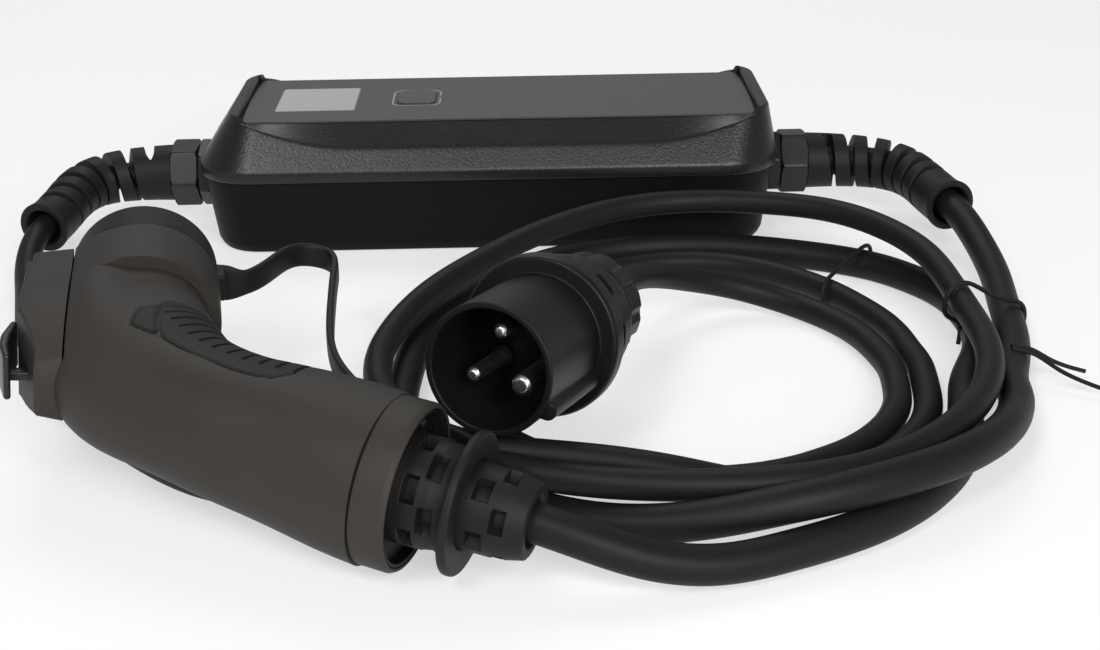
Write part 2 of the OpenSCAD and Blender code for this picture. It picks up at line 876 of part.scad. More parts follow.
module dust_cap() {
    color(rubber_colour)
        on_nose()
            difference() {
                union() {
                    rotate_extrude($fn = 72)
                        polygon([
                            [0, 0], [nose_d / 2 + cap_wall, 0], [nose_d / 2 + cap_wall, cap_l - 3],
                            [nose_d / 2 + cap_wall - 3, cap_l], [0, cap_l]]);
                    translate([nose_d / 2 + cap_wall - 2, -5, 2])
                        cube([5, 10, 12]);
                }
                translate([0, 0, -1])
                    cylinder(h = nose_l + 1.2, d = nose_d + 2 * pin_gap, $fn = 72);
            }
}

function strap_ring(i) =
    let (p = strap_route[i], d = path_dir(strap_route, i), q = side_of(d, [0, 0, 1]), w = 4.5 * cross(q, d))
    [p - 1.4 * q - w, p - 1.4 * q + w, p + 1.4 * q + w, p + 1.4 * q - w];

module cap_strap() {
    color(rubber_colour) {
        skin([for (i = [0:len(strap_route) - 1]) strap_ring(i)]);
        on_boot()
            translate([0, 0, strap_x])
                difference() {
                    cylinder(h = 3, d = strap_ring_d);
                    translate([0, 0, -1])
                        cylinder(h = 5, d = boot_d2 + 2 * pin_gap);
                }
    }
}

module grip_collar() {
    color(shell_colour)
        on_boot()
            difference() {
                rotate_extrude($fn = 72)
                    polygon([
                        [0, -9.5], [collar_d / 2, -9.5], [collar_d / 2, 0], [collar_d / 2 - 1.5, 1.5],
                        [collar_d / 2 - 3.5, 1.5], [collar_d / 2 - 4, -2], [0, -2]]);
                translate([0, 0, -6])
                    cylinder(h = 12, d = boot_d1 - 4);
                for (a = [40, 160, 280])
                    rotate([0, 0, a])
                        translate([19.5, 0, -8])
                            cylinder(h = 12, d = 2.4);
            }
}

module collar_screws() {
    color(metal_colour)
        on_boot()
            for (a = [40, 160, 280])
                rotate([0, 0, a])
                    translate([19.5, 0, -8])
                        cylinder(h = 7, d = 2.4);
}

module strain_boot() {
    color(rubber_colour)
        on_boot()
            difference() {
                rotate_extrude($fn = 72)
                    polygon([
                        [0, -6], [boot_d1 / 2 - 2, -6], [boot_d1 / 2 - 2, -2], [boot_d1 / 2, -2],
                        [boot_d1 / 2, 12], [boot_d1 / 2 - 1.5, strap_x], [boot_d2 / 2, strap_x],
                        [boot_d2 / 2, boot_end - 6], [boot_d2 / 2 - 1.5, boot_end], [0, boot_end]]);
                translate([0, 0, boot_end - 10])
                    cylinder(h = 20, d = car_cord_d + 2);
                for (a = [0:60:300])
                    rotate([0, 0, a]) {
                        translate([11.5, -4, 2])
                            cube([8, 8, 4]);
                        translate([11.5, -4, 8])
                            cube([8, 8, 4]);
                        translate([9.5, -3, strap_x + 6])
                            cube([8, 6, 4]);
                    }
            }
}

// Places a part on the plug axis, counted from the mouth to the cord
module on_plug() {
    translate(plug_pos)
        rotate(plug_turn)
            children();
}

module plug_shroud() {
    color(shell_colour)
        on_plug()
            difference() {
                union() {
                    rotate_extrude($fn = 72)
                        polygon([
                            [0, 0], [shroud_d / 2 - 0.5, 0], [shroud_d / 2, 0.5], [shroud_d / 2, shroud_l],
                            [flange_d / 2 - 1, shroud_l], [flange_d / 2, shroud_l + 1],
                            [flange_d / 2, shroud_l + 7], [flange_d / 2 - 1, shroud_l + 8],
                            [0, shroud_l + 8]]);
                    rotate([0, 0, earth_a])
                        translate([shroud_d / 2, 0, 3])
                            cylinder(h = shroud_l - 2, d = 7);
                }
                translate([0, 0, -1])
                    cylinder(h = shroud_l + 1, d = shroud_d - 2 * shroud_wall, $fn = 72);
            }
}

module plug_insert() {
    color(tub_colour)
        on_plug()
            translate([0, 0, shroud_l - insert_t])
                difference() {
                    cylinder(h = insert_t, d = shroud_d - 2 * shroud_wall, $fn = 72);
                    for (a = [earth_a - 120, earth_a + 120])
                        rotate([0, 0, a])
                            translate([pin_circle, 0, -1])
                                cylinder(h = insert_t + 2, d = pin_d - 2 * pin_neck);
                    rotate([0, 0, earth_a])
                        translate([pin_circle, 0, -1])
                            cylinder(h = insert_t + 2, d = earth_d - 2 * pin_neck);
                }
}

// Round pin with a thinner root that starts just before the insert
module pin_at(a, d, z) {
    root_z = shroud_l - z - insert_t - 0.3;
    rotate([0, 0, a])
        translate([pin_circle, 0, z])
            rotate_extrude($fn = 32)
                polygon([
                    [0, 0], [d / 2 - 1.2, 0], [d / 2, 1.2], [d / 2, root_z], [d / 2 - pin_neck, root_z],
                    [d / 2 - pin_neck, shroud_l - z], [0, shroud_l - z]]);
}

module plug_pins() {
    color(metal_colour)
        on_plug()
            for (a = [earth_a - 120, earth_a + 120])
                pin_at(a, pin_d, 8);
}

module earth_pin() {
    color(metal_colour)
        on_plug()
            pin_at(earth_a, earth_d, 5);
}

module plug_body() {
    color(shell_colour)
        on_plug()
            difference() {
                rotate_extrude($fn = 72)
                    polygon([
                        [0, shroud_l + 8], [25, shroud_l + 8], [25, shroud_l + 18], [23, shroud_l + 20],
                        [23, body_end - 8], [20, body_end - 4], [17, body_end - 3], [17, body_end],
                        [0, body_end]]);
                for (a = [0:45:315])
                    rotate([0, 0, a])
                        translate([22, -4, shroud_l + 11])
                            cube([6, 8, 5]);
            }
}

module plug_gland_nut() {
    color(rubber_colour)
        on_plug()
            difference() {
                rotate_extrude($fn = 72)
                    polygon([
                        [0, body_end], [nut_d / 2 - 1, body_end], [nut_d / 2, body_end + 1],
                        [nut_d / 2, nut_end - 8], [nut_d / 2 - 4, nut_end - 2], [nut_d / 2 - 6, nut_end],
                        [0, nut_end]]);
                translate([0, 0, nut_end - 8])
                    cylinder(h = 20, d = plug_cord_d + 1.2);
                for (a = [0:30:330])
                    rotate([0, 0, a])
                        translate([nut_d / 2 + 1.2, 0, body_end + 2.5])
                            cylinder(h = 30, d = 5, $fn = 24);
            }
}

module plug_cable_lead() {
    color(cord_colour)
        tube(plug_lead_route, plug_cord_d, 10);
}

module plug_cable_tail() {
    color(cord_colour)
        tube(plug_tail_route, plug_cord_d, 10);
}

module vehicle_cable_lead() {
    color(cord_colour)
        tube(car_lead_route, car_cord_d, 10);
}

module vehicle_cable_tail() {
    color(cord_colour)
        tube(car_tail_route, car_cord_d, 10);
}

// Two turns of cord lying side by side, as one ring
module coil(r1, r2, d) {
    translate([coil_c[0], coil_c[1], 0])
        rotate_extrude($fn = 96) {
            translate([r1 + d / 2, 0])
                square([r2 - r1 - d, d]);
            translate([r1 + d / 2, d / 2])
                circle(d / 2, $fn = 24);
            translate([r2 - d / 2, d / 2])
                circle(d / 2, $fn = 24);
        }
}

module plug_cable_coil() {
    color(cord_colour)
        coil(plug_coil_r1, plug_coil_r2, plug_cord_d);
}

module vehicle_cable_coil() {
    color(cord_colour)
        coil(car_coil_r1, car_coil_r2, car_cord_d);
}

// Turns a section path of a tie into points round the coil
function tie_points(path, a) =
    [for (p = path) [coil_c[0] + p[0] * cos(a), coil_c[1] + p[0] * sin(a), p[1]]];

module tie_near() {
    color(tub_colour) {
        tube(tie_points(tie_near_path, -12), tie_d, 6, [sin(12), cos(12), 0]);
        tube([[189.5, -239, 12], [199, -235, 9], [211, -231, 5]], tie_d, 6);
        tube([[189.2, -240.6, 11], [198, -243, 8], [210, -247, 4]], tie_d, 6);
    }
}

module tie_far() {
    color(tub_colour)
        tube(tie_points(tie_far_path, 55), tie_d, 6, [-sin(55), cos(55), 0]);
}

tub();
cover();
case_seal();
label_panel();
display_window();
display_module();
display_board();
display_board_screws();
push_button();
tact_switch();
circuit_board();
relays();
leakage_sensor();
power_module();
terminal_blocks();
board_screws();
case_screws();
gland_body(-1);  // gland_body_left
gland_body(1);  // gland_body_right
gland_washer(-1);  // gland_washer_left
gland_washer(1);  // gland_washer_right
gland_nut(-1);  // gland_nut_left
gland_nut(1);  // gland_nut_right
gland_locknut(-1);  // gland_locknut_left
gland_locknut(1);  // gland_locknut_right
bend_protector(left_path, plug_cord_d + 4);  // bend_protector_left
bend_protector(right_path, car_cord_d + 3);  // bend_protector_right
connector_shell();
head_cover();
latch_lever();
latch_pin();
grip_inlay();
nose_barrel();
contact_insert();
contact_sleeves();
dust_cap();
cap_strap();
grip_collar();
collar_screws();
strain_boot();
plug_shroud();
plug_insert();
plug_pins();
earth_pin();
plug_body();
plug_gland_nut();
plug_cable_lead();
plug_cable_coil();
plug_cable_tail();
vehicle_cable_lead();
vehicle_cable_coil();
vehicle_cable_tail();
tie_near();
tie_far();
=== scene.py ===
# %% [markdown]
# # Dressing a portable car charger
# The solid model already holds every piece of this charger at its real size and place: a control box,
# a mains lead with a round-pin plug, and a vehicle lead with a pistol-grip connector. This lesson puts
# the looks on that frame: soft edges, spiral sleeves, cords that lie under their own weight, and
# plastics and rubbers with the grain that real mouldings have. All lengths in the code are millimetres,
# as in the solid model, and they turn into Blender's metres in one place, where a mesh is made.

# %% Load the solid model
import json
import math

import bpy
import numpy as np
from mathutils import Matrix

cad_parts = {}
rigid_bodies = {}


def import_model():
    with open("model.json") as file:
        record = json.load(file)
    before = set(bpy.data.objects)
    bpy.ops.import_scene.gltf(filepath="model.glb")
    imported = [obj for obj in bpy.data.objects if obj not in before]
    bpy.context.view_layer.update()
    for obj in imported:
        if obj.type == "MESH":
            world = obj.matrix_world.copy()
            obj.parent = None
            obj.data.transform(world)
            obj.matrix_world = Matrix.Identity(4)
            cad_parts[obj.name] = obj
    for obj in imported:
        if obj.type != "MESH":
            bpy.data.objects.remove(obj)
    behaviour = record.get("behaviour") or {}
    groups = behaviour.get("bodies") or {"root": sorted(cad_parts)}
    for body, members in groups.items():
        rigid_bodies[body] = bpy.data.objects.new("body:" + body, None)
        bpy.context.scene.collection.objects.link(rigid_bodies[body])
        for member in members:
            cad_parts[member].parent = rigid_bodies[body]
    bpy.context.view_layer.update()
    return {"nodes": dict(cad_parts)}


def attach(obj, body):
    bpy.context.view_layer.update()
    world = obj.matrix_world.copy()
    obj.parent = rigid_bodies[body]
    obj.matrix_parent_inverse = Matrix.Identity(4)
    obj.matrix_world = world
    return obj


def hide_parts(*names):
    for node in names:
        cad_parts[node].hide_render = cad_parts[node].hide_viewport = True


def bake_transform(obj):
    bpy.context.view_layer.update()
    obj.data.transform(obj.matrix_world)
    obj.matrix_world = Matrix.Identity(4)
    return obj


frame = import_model()
MM = 0.001

# %% [markdown]
# ## Camera
# The photograph was taken from a little above table height with a long lens. A camera is three
# directions and a place: forward comes from a turn to the side and a tilt down, right is level, and up
# is square to both. A small roll then tips right and up together. The lens follows from the focal
# length in pixels: 1700 of them across a picture 1100 wide, on Blender's 36 mm sensor.

# %% Camera
def turn(axis, deg):
    """Rotation matrix about X, Y or Z: cosine and sine in the plane of the two axes that follow it."""
    made = np.eye(3)
    a, b = (("XYZ".index(axis) + k) % 3 for k in (1, 2))
    made[a, a] = made[b, b] = math.cos(math.radians(deg))
    made[b, a] = math.sin(math.radians(deg))
    made[a, b] = -made[b, a]
    return made


eye = np.array([14.38, -768.2, 263.9])
side_turn, tilt, roll, focal_px = 0.93, 22.70, -0.85, 1700
SENSOR, PHOTO_WIDE = 36, 1100
facing = turn("Z", -side_turn) @ turn("X", 90 - tilt) @ turn("Z", roll)
camera = bpy.data.objects.new("camera", bpy.data.cameras.new("camera"))
bpy.context.scene.collection.objects.link(camera)
camera.data.sensor_width = SENSOR
camera.data.lens = SENSOR * focal_px / PHOTO_WIDE
camera.data.clip_start = 0.01
camera.matrix_world = Matrix.Translation(eye * MM) @ Matrix(facing.tolist()).to_4x4()
bpy.context.scene.camera = camera
print("lens:", round(camera.data.lens, 2))

# %% [markdown]
# ## Surfaces from arrays
# Every new piece here is a stack of closed rings: ring number times point number. Joining each ring to
# the next gives quads, and a point in the middle of the first and last ring closes the ends. The whole
# stack is one numpy array, so a shape is a formula over the grid and never a loop over vertices. The
# sign of the enclosed volume tells whether the faces look outwards, and they are turned if not.

# %% Rings into a mesh
def joined(rings, ring_wrap):
    """Quads between neighbouring rings (index i*n+j), fans to the middles of the end rings, volume."""
    m, n = rings.shape[:2]
    i, j = np.meshgrid(np.arange(m if ring_wrap else m - 1), np.arange(n), indexing="ij")
    i2, j2 = (i + 1) % m, (j + 1) % n
    quads = np.stack([i * n + j, i * n + j2, i2 * n + j2, i2 * n + j], -1).reshape(-1, 4)
    verts = rings.reshape(-1, 3)
    fans = np.zeros((0, 3), int)
    if not ring_wrap:
        verts = np.vstack([verts, rings[0].mean(0), rings[-1].mean(0)])
        a = np.arange(n)
        b = (a + 1) % n
        first = np.stack([np.full(n, m * n), b, a], -1)
        last = np.stack([np.full(n, m * n + 1), (m - 1) * n + a, (m - 1) * n + b], -1)
        fans = np.vstack([first, last])
    tris = np.vstack([quads[:, [0, 1, 2]], quads[:, [0, 2, 3]], fans])
    low = verts - verts.mean(0)
    volume = np.einsum("ij,ij->i", low[tris[:, 0]], np.cross(low[tris[:, 1]], low[tris[:, 2]])).sum() / 6
    step = -1 if volume < 0 else 1
    return verts, quads[:, ::step], fans[:, ::step], abs(volume)


def skin(name, rings, material, body="charger", ring_wrap=False, crease=38, run=None, swaps=()):
    """One stack of rings, or a list of them, as one smooth-shaded object that rides on a body.

    swaps are the solids that the piece stands for.
    ring_wrap joins the last ring to the first, for a ring-shaped piece. run gives a length for each
    ring, and then the piece gets a UV map: length along, fraction round.
    """
    stacks = rings if isinstance(rings, list) else [rings]
    verts, faces, total, made = [], [], 0.0, 0
    for stack in stacks:
        points, quads, fans, volume = joined(np.asarray(stack, float), ring_wrap)
        verts.append(points)
        faces += (quads + made).tolist() + (fans + made).tolist()
        total, made = total + volume, made + len(points)
    mesh = bpy.data.meshes.new(name)
    mesh.from_pydata((np.vstack(verts) * MM).tolist(), [], faces)
    if run is not None:
        n = stacks[0].shape[1]
        corners = np.zeros(len(mesh.loops), int)
        mesh.loops.foreach_get("vertex_index", corners)
        row, spot = np.minimum(corners // n, len(run) - 1), corners % n
        quad_spots = spot[:len(quads) * 4].reshape(-1, 4)
        over = (quad_spots == 0) & (quad_spots.max(1) == n - 1)[:, None]
        spot[:len(quads) * 4] = (quad_spots + n * over).ravel()
        mesh.uv_layers.new(name="along").data.foreach_set(
            "uv", np.stack([np.asarray(run)[row] * MM, spot / n], -1).ravel())
    mesh.polygons.foreach_set("use_smooth", np.ones(len(mesh.polygons), bool))
    mesh.set_sharp_from_angle(angle=math.radians(crease))
    mesh.update()
    piece = bpy.data.objects.new(name, mesh)
    bpy.context.scene.collection.objects.link(piece)
    piece.data.materials.append(material)
    if body:
        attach(piece, body)
    if swaps:
        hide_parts(*swaps)
    print(name, len(faces), "faces,", round(total / 1000, 1), "cm3")
    return piece


def smooth_line(points, step):
    """Natural cubic through points: second slopes solve a three-band system, then even samples."""
    p = np.asarray(points, float)
    t = np.concatenate([[0], np.cumsum(np.linalg.norm(np.diff(p, axis=0), axis=1))])
    h = np.diff(t)
    n = len(p)
    band = np.eye(n)
    k = np.arange(1, n - 1)
    band[k, k - 1], band[k, k], band[k, k + 1] = h[:-1], 2 * (h[:-1] + h[1:]), h[1:]
    right = np.zeros((n, 3))
    right[1:-1] = 6 * (np.diff(p[1:], axis=0) / h[1:, None] - np.diff(p[:-1], axis=0) / h[:-1, None])
    bend = np.linalg.solve(band, right)

    def at(s):
        i = np.clip(np.searchsorted(t, s) - 1, 0, n - 2)
        a, b, w = (t[i + 1] - s)[:, None], (s - t[i])[:, None], h[i][:, None]
        return (
            bend[i] * a**3 / (6 * w) + bend[i + 1] * b**3 / (6 * w)
            + (p[i] / w - bend[i] * w / 6) * a + (p[i + 1] / w - bend[i + 1] * w / 6) * b
        )

    fine = at(np.linspace(0, t[-1], 4000))
    length = np.concatenate([[0], np.cumsum(np.linalg.norm(np.diff(fine, axis=0), axis=1))])
    even = np.linspace(0, length[-1], max(8, int(length[-1] / step)))
    return np.stack([np.interp(even, length, fine[:, c]) for c in range(3)], -1), even


def side_and_lift(line, up=(0, 0, 1)):
    """Along a line: the level direction to its side, and the one square to both."""
    d = np.gradient(line, axis=0)
    d /= np.linalg.norm(d, axis=1)[:, None]
    side = np.cross(d, np.asarray(up, float))
    side /= np.linalg.norm(side, axis=1)[:, None]
    return side, np.cross(side, d)


def tube(line, radius, around=32, up=(0, 0, 1)):
    """Ring i is line[i] + radius * (cos a * side + sin a * lift)."""
    side, lift = side_and_lift(line, up)
    a = np.linspace(0, 2 * np.pi, around, endpoint=False)
    r = np.broadcast_to(np.asarray(radius, float).reshape(-1, 1) if np.ndim(radius) < 2 else radius,
                        (len(line), around))
    return line[:, None] + (r * np.cos(a))[..., None] * side[:, None] + (r * np.sin(a))[..., None] * lift[:, None]


# %% [markdown]
# ## Shader maths
# Finishes are sums and products of noise, stripes and distances. One small class wraps a node socket,
# so that `1 - mask * 0.3` in Python adds the Math nodes that work it out on the surface. Everything
# else, such as a noise texture or a colour mix, comes from its one method, `node`.

# %% Socket class and finish helper
class Wire:
    """A value in a node tree; operators on it add Math nodes."""

    def __init__(self, socket):
        self.socket = socket
        self.tree = socket.id_data

    def node(self, kind, settings=None, values=None, out=0):
        """Adds any node: its settings are set first, then its sockets are filled or linked."""
        made = self.tree.nodes.new(kind)
        for key, value in (settings or {}).items():
            setattr(made, key, value)
        for key, value in (values or {}).items():
            if isinstance(value, Wire):
                self.tree.links.new(value.socket, made.inputs[key])
            else:
                made.inputs[key].default_value = value
        return Wire(made.outputs[out])

    def math(self, operation, first, second=0.0):
        """One Math node on two values."""
        return self.node("ShaderNodeMath", {"operation": operation}, {0: first, 1: second})

    def __add__(self, other):
        return self.math("ADD", self, other)

    def __sub__(self, other):
        return self.math("SUBTRACT", self, other)

    def __rsub__(self, other):
        return self.math("SUBTRACT", other, self)

    def __mul__(self, other):
        return self.math("MULTIPLY", self, other)

    def __truediv__(self, other):
        return self.math("DIVIDE", self, other)

    def __pow__(self, other):
        return self.math("POWER", self, other)

    def __abs__(self):
        return self.math("ABSOLUTE", self)

    def over(self, other):
        """The larger of the two values."""
        return self.math("MAXIMUM", self, other)

    def sine(self):
        """Sine of the value, in radians."""
        return self.math("SINE", self)

    def ramp(self, low, high):
        """0 below low, 1 above high, smooth between."""
        return self.node("ShaderNodeMapRange", {"interpolation_type": "SMOOTHSTEP"},
                         {"Value": self, "From Min": low, "From Max": high})

    def noise(self, size, detail=3.0, stretch=(1, 1, 1)):
        """Noise with blobs of about that many millimetres, on the wired coordinates."""
        place = self.node("ShaderNodeMapping", None, {"Vector": self, "Scale": stretch})
        return place.node("ShaderNodeTexNoise", None, {"Vector": place, "Scale": 1 / (size * MM), "Detail": detail})

    def part(self, axis):
        """One coordinate in millimetres."""
        return self.node("ShaderNodeSeparateXYZ", None, {0: self}, out=axis) * (1 / MM)

    def mix(self, dark, light):
        """Colour between two, by this value."""
        return self.node("ShaderNodeMix", {"data_type": "RGBA"},
                         {0: self, 6: colour(dark), 7: colour(light)}, out=2)


def colour(value):
    """A wire as it is, or three numbers with full alpha."""
    return value if isinstance(value, Wire) else (*value, 1)


def finish(name, coords="Object", **fixed):
    """A material: constants set on the shader's own sockets, and its coordinates as a wire."""
    made = bpy.data.materials.new(name)
    made.use_nodes = True
    shader = made.node_tree.nodes["Principled BSDF"]
    for key, value in fixed.items():
        shader.inputs[key.replace("_", " ")].default_value = value
    where = Wire(made.node_tree.nodes.new("ShaderNodeTexCoord").outputs[coords])
    return made, shader, where


def feed(shader, height=None, depth=0.1, **wires):
    """Links wires to the shader, and a height through a Bump node to its normal."""
    tree = shader.id_data
    for key, wire in wires.items():
        tree.links.new(wire.socket, shader.inputs[key.replace("_", " ")])
    if height is not None:
        bump = height.node("ShaderNodeBump", None, {"Height": height, "Strength": 1.0, "Distance": depth * MM})
        tree.links.new(bump.socket, shader.inputs["Normal"])


# %% [markdown]
# ## Finishes
# The charger is nearly all black, so what tells the pieces apart is grain and gloss. Case plastic is
# spark-eroded: tiny pits that sparkle where a lamp grazes them. The grip is a softer, greyer plastic
# with a finer grain. Rubber is duller and gathers a little dust. The cord sheath has a satin skin with
# faint draw marks along it and the slow twist of the cores inside.

# %% Plastics and rubbers
def moulded(name, dark, light, rough, grain, depth, gloss):
    """Moulded plastic: fine pits over broad, faint patches in colour and gloss."""
    made, shader, where = finish(name, Specular_IOR_Level=gloss)
    patch = where.noise(40, 2)
    pits = where.noise(grain, 2)
    feed(shader, pits, depth, Base_Color=(patch * 0.7 + pits * 0.3).mix(dark, light),
         Roughness=patch * 0.1 + pits * 0.08 + (rough - 0.09))
    return made


case_plastic = moulded("case_plastic", (0.0045, 0.0045, 0.0046), (0.008, 0.008, 0.0079), 0.36, 1.1, 0.13, 0.42)
tub_plastic = moulded("tub_plastic", (0.003, 0.003, 0.0029), (0.005, 0.005, 0.0047), 0.5, 0.9, 0.04, 0.11)
grip_plastic = moulded("grip_plastic", (0.0255, 0.0224, 0.0196), (0.0355, 0.0316, 0.0281), 0.56, 0.8, 0.06, 0.2)
gland_plastic = moulded("gland_plastic", (0.0075, 0.0072, 0.0066), (0.0125, 0.012, 0.011), 0.42, 0.9, 0.04, 0.35)
plug_plastic = moulded("plug_plastic", (0.0045, 0.0043, 0.004), (0.008, 0.0077, 0.0071), 0.42, 0.8, 0.05, 0.2)
soft_rubber = moulded("soft_rubber", (0.0065, 0.0062, 0.0057), (0.0115, 0.011, 0.0101), 0.55, 0.8, 0.04, 0.2)
print("mouldings:", [m.name for m in bpy.data.materials if m.name.endswith(("_plastic", "_rubber"))])


def cord_sheath(name, twist):
    """Extruded sheath on its own UV map: draw marks run along it, a twist of cores winds round it."""
    made, shader, where = finish(name, coords="UV", Specular_IOR_Level=0.17)
    along, around = where.part(0), where.part(1) * MM
    lay = ((along / twist + around * 3) * (2 * math.pi)).sine() * 0.5 + 0.5
    marks = where.noise(40, 3, (1, 4, 1))
    dust = where.noise(3, 4, (1, 0.06, 1))
    feed(shader, lay * 0.6 + marks * 0.25 + dust * 0.15, 0.16,
         Base_Color=(marks * 0.6 + dust * 0.4).mix((0.0058, 0.0054, 0.0048), (0.0118, 0.011, 0.0098)),
         Roughness=dust * 0.12 + marks * 0.1 + 0.4)
    return made


plug_sheath = cord_sheath("plug_sheath", 150)
car_sheath = cord_sheath("car_sheath", 190)

# %% [markdown]
# Metal, film and the parts inside. The panel is a satin film with a thin light line painted round the button, a
# painted highlight on the button's edge. An image could carry that line; as a distance to a rounded rectangle, worked
# out in the shader, it stays sharp at any size. Plated pins and brass show faint tool marks, and boards a grid of
# traces.

# %% Film, window, metals and boards
button_x, window_x = -33.1, -78.6
window_half_x, window_half_y = 17.6, 19.1


def panel_film():
    """Satin film with a painted highlight: a light line where the distance to the button's core rectangle is near 4.6
    mm.
    """
    made, shader, where = finish("panel_film", Specular_IOR_Level=0.5)
    x, y = where.part(0), where.part(1)
    x = x - button_x
    out_x = (abs(x) - 6.2).over(0)
    out_y = (abs(y) - 8.5).over(0)
    away = (out_x**2 + out_y**2) ** 0.5
    # painted highlight on the button's edge: a light line round the button, broken at the middle of its right side
    gap = 1 - x.ramp(7.5, 8) * (1 - abs(y - 1.5).ramp(1.5, 2.2))
    line = (1 - abs(away - 4.6).ramp(0.22, 0.4)) * gap
    fine = where.noise(0.35, 2)
    broad = where.noise(60, 2)
    film = (broad * 0.6 + fine * 0.4).mix((0.040, 0.041, 0.036), (0.054, 0.055, 0.048))
    feed(shader, fine, 0.006, Base_Color=line.mix(film, (0.36, 0.36, 0.34)),
         Roughness=broad * 0.08 + fine * 0.06 + 0.3)
    return made


def lcd():
    """Pale display behind a clear window, with a dark edge line and a painted sheen that grows lighter towards the
    back.
    """
    made, shader, where = finish("lcd", Coat_Weight=1.0, Coat_Roughness=0.05, Specular_IOR_Level=0.5)
    x, y = where.part(0) - window_x, where.part(1)
    frame_line = (abs(x) - window_half_x).over(abs(y) - window_half_y).ramp(0, 0.25)
    # random pale patches, plus painted sheen: the y * 0.006 term lightens the display towards the back
    glow = where.noise(25, 1) * 0.5 + y * 0.006 + 0.3
    pale = glow.mix((0.38, 0.365, 0.352), (0.49, 0.47, 0.455))
    feed(shader, Base_Color=frame_line.mix(pale, (0.1, 0.1, 0.1)),
         Roughness=where.noise(8, 2) * 0.1 + 0.25)
    return made


def metal(name, dark, light, rough):
    """Turned and plated metal: faint tool marks in its gloss."""
    made, shader, where = finish(name, Metallic=1.0)
    marks = where.noise(0.4, 3)
    feed(shader, marks, 0.004, Base_Color=marks.mix(dark, light), Roughness=marks * 0.12 + (rough - 0.06))
    return made


def board(name, dark, light):
    """Varnished board with copper traces showing through as a faint grid."""
    made, shader, where = finish(name, Specular_IOR_Level=0.5)
    traces = (where.part(0) * 1.6).sine() * (where.part(1) * 2.1).sine()
    feed(shader, Base_Color=traces.ramp(0.5, 0.7).mix(dark, light), Roughness=where.noise(4, 2) * 0.1 + 0.3)
    return made


film = panel_film()
display = lcd()
pin_metal = metal("pin_metal", (0.70, 0.68, 0.64), (0.86, 0.84, 0.80), 0.28)
screw_steel = metal("screw_steel", (0.35, 0.35, 0.35), (0.5, 0.5, 0.5), 0.3)
contact_brass = metal("contact_brass", (0.62, 0.45, 0.2), (0.78, 0.6, 0.32), 0.25)
board_green = board("board_green", (0.012, 0.07, 0.035), (0.03, 0.13, 0.06))
block_dark = moulded("block_dark", (0.02, 0.03, 0.06), (0.03, 0.045, 0.09), 0.4, 1.5, 0.02, 0.5)
seal_rubber = moulded("seal_rubber", (0.004, 0.004, 0.004), (0.008, 0.008, 0.008), 0.65, 0.6, 0.02, 0.25)
print("finishes:", len(bpy.data.materials))

# %% [markdown]
# Every solid of the model gets one of these finishes by name, also where a smoother piece will stand for it, so
# that nothing is ever bare.

# %% Finishes on the solids
node_finish = {
    case_plastic: ["cover", "latch_lever", "grip_collar"],
    tub_plastic: ["tub", "contact_insert"],
    grip_plastic: ["connector_shell", "head_cover", "nose_barrel"],
    gland_plastic: [f"{p}_{s}" for p in ("gland_body", "gland_nut", "gland_locknut") for s in ("left", "right")],
    plug_plastic: ["plug_shroud", "plug_insert", "plug_body", "plug_gland_nut"],
    soft_rubber: ["grip_inlay", "dust_cap", "cap_strap", "strain_boot", "bend_protector_left",
                  "bend_protector_right", "tie_near", "tie_far"],
    seal_rubber: ["case_seal", "gland_washer_left", "gland_washer_right"],
    film: ["label_panel", "push_button"],
    display: ["display_window", "display_module"],
    pin_metal: ["plug_pins", "earth_pin"],
    screw_steel: ["latch_pin", "collar_screws", "case_screws", "board_screws", "display_board_screws"],
    contact_brass: ["contact_sleeves"],
    board_green: ["circuit_board", "display_board"],
    block_dark: ["relays", "leakage_sensor", "power_module", "terminal_blocks", "tact_switch"],
    plug_sheath: ["plug_cable_lead", "plug_cable_coil", "plug_cable_tail"],
    car_sheath: ["vehicle_cable_lead", "vehicle_cable_coil", "vehicle_cable_tail"],
}
for made, names in node_finish.items():
    for name in names:
        solid = frame["nodes"][name]
        solid.data.materials.clear()
        solid.data.materials.append(made)
print("dressed solids:", sum(len(v) for v in node_finish.values()))

# %% [markdown]
# ## The cords
# A cord could be a curve object with a round bevel. Here it is a tube of rings along a smooth line, so that
# it gets a UV map in real lengths. The thin cord leaves the left end of the box, passes the connector, makes
# one wide loop over the coil and one and a half turns in it, and climbs into the plug. The thick one leaves
# the right end, rides over its own other end at the front right, winds once and a bit the other way, and runs
# into the grip. The turns inside the coils are radius and height given at a few angles, because a coil is
# easiest to steer from its middle. Behind the plug the order of the turns is a guess that fits.

# %% Routes
coil_middle = np.array([77, -214])
plug_cord_d, car_cord_d = 10.2, 12.4
gland_z = 24.3


def turns(marks, step=8):
    """Polar marks (angle, radius, height), straight lines between, into points about the coil's middle."""
    marks = np.asarray(marks, float)
    a = np.arange(marks[0, 0], marks[-1, 0], step if marks[-1, 0] > marks[0, 0] else -step)
    order = np.argsort(marks[:, 0])
    r = np.interp(a, marks[order, 0], marks[order, 1])
    z = np.interp(a, marks[order, 0], marks[order, 2])
    t = np.radians(a)
    return np.stack([coil_middle[0] + r * np.cos(t), coil_middle[1] + r * np.sin(t), z], -1)


def curve_at(p, t):
    """Point on a four-point Bezier."""
    t = np.asarray(t, float)[..., None]
    p = np.asarray(p, float)
    return (1 - t) ** 3 * p[0] + 3 * (1 - t) ** 2 * t * p[1] + 3 * (1 - t) * t**2 * p[2] + t**3 * p[3]


plug_place, plug_frame = np.array([2.5, -283, 46]), turn("Z", -24.4) @ turn("X", -96.9)
grip_place, grip_frame = np.array([-19.5, -322.7, 26.4]), turn("Z", -20) @ turn("Y", 8)
HEAD_TURN, head_local = 30, np.array([-135.4, 75.8, 0])
head_place = grip_place + grip_frame @ head_local
head_frame = grip_frame @ turn("Z", HEAD_TURN)


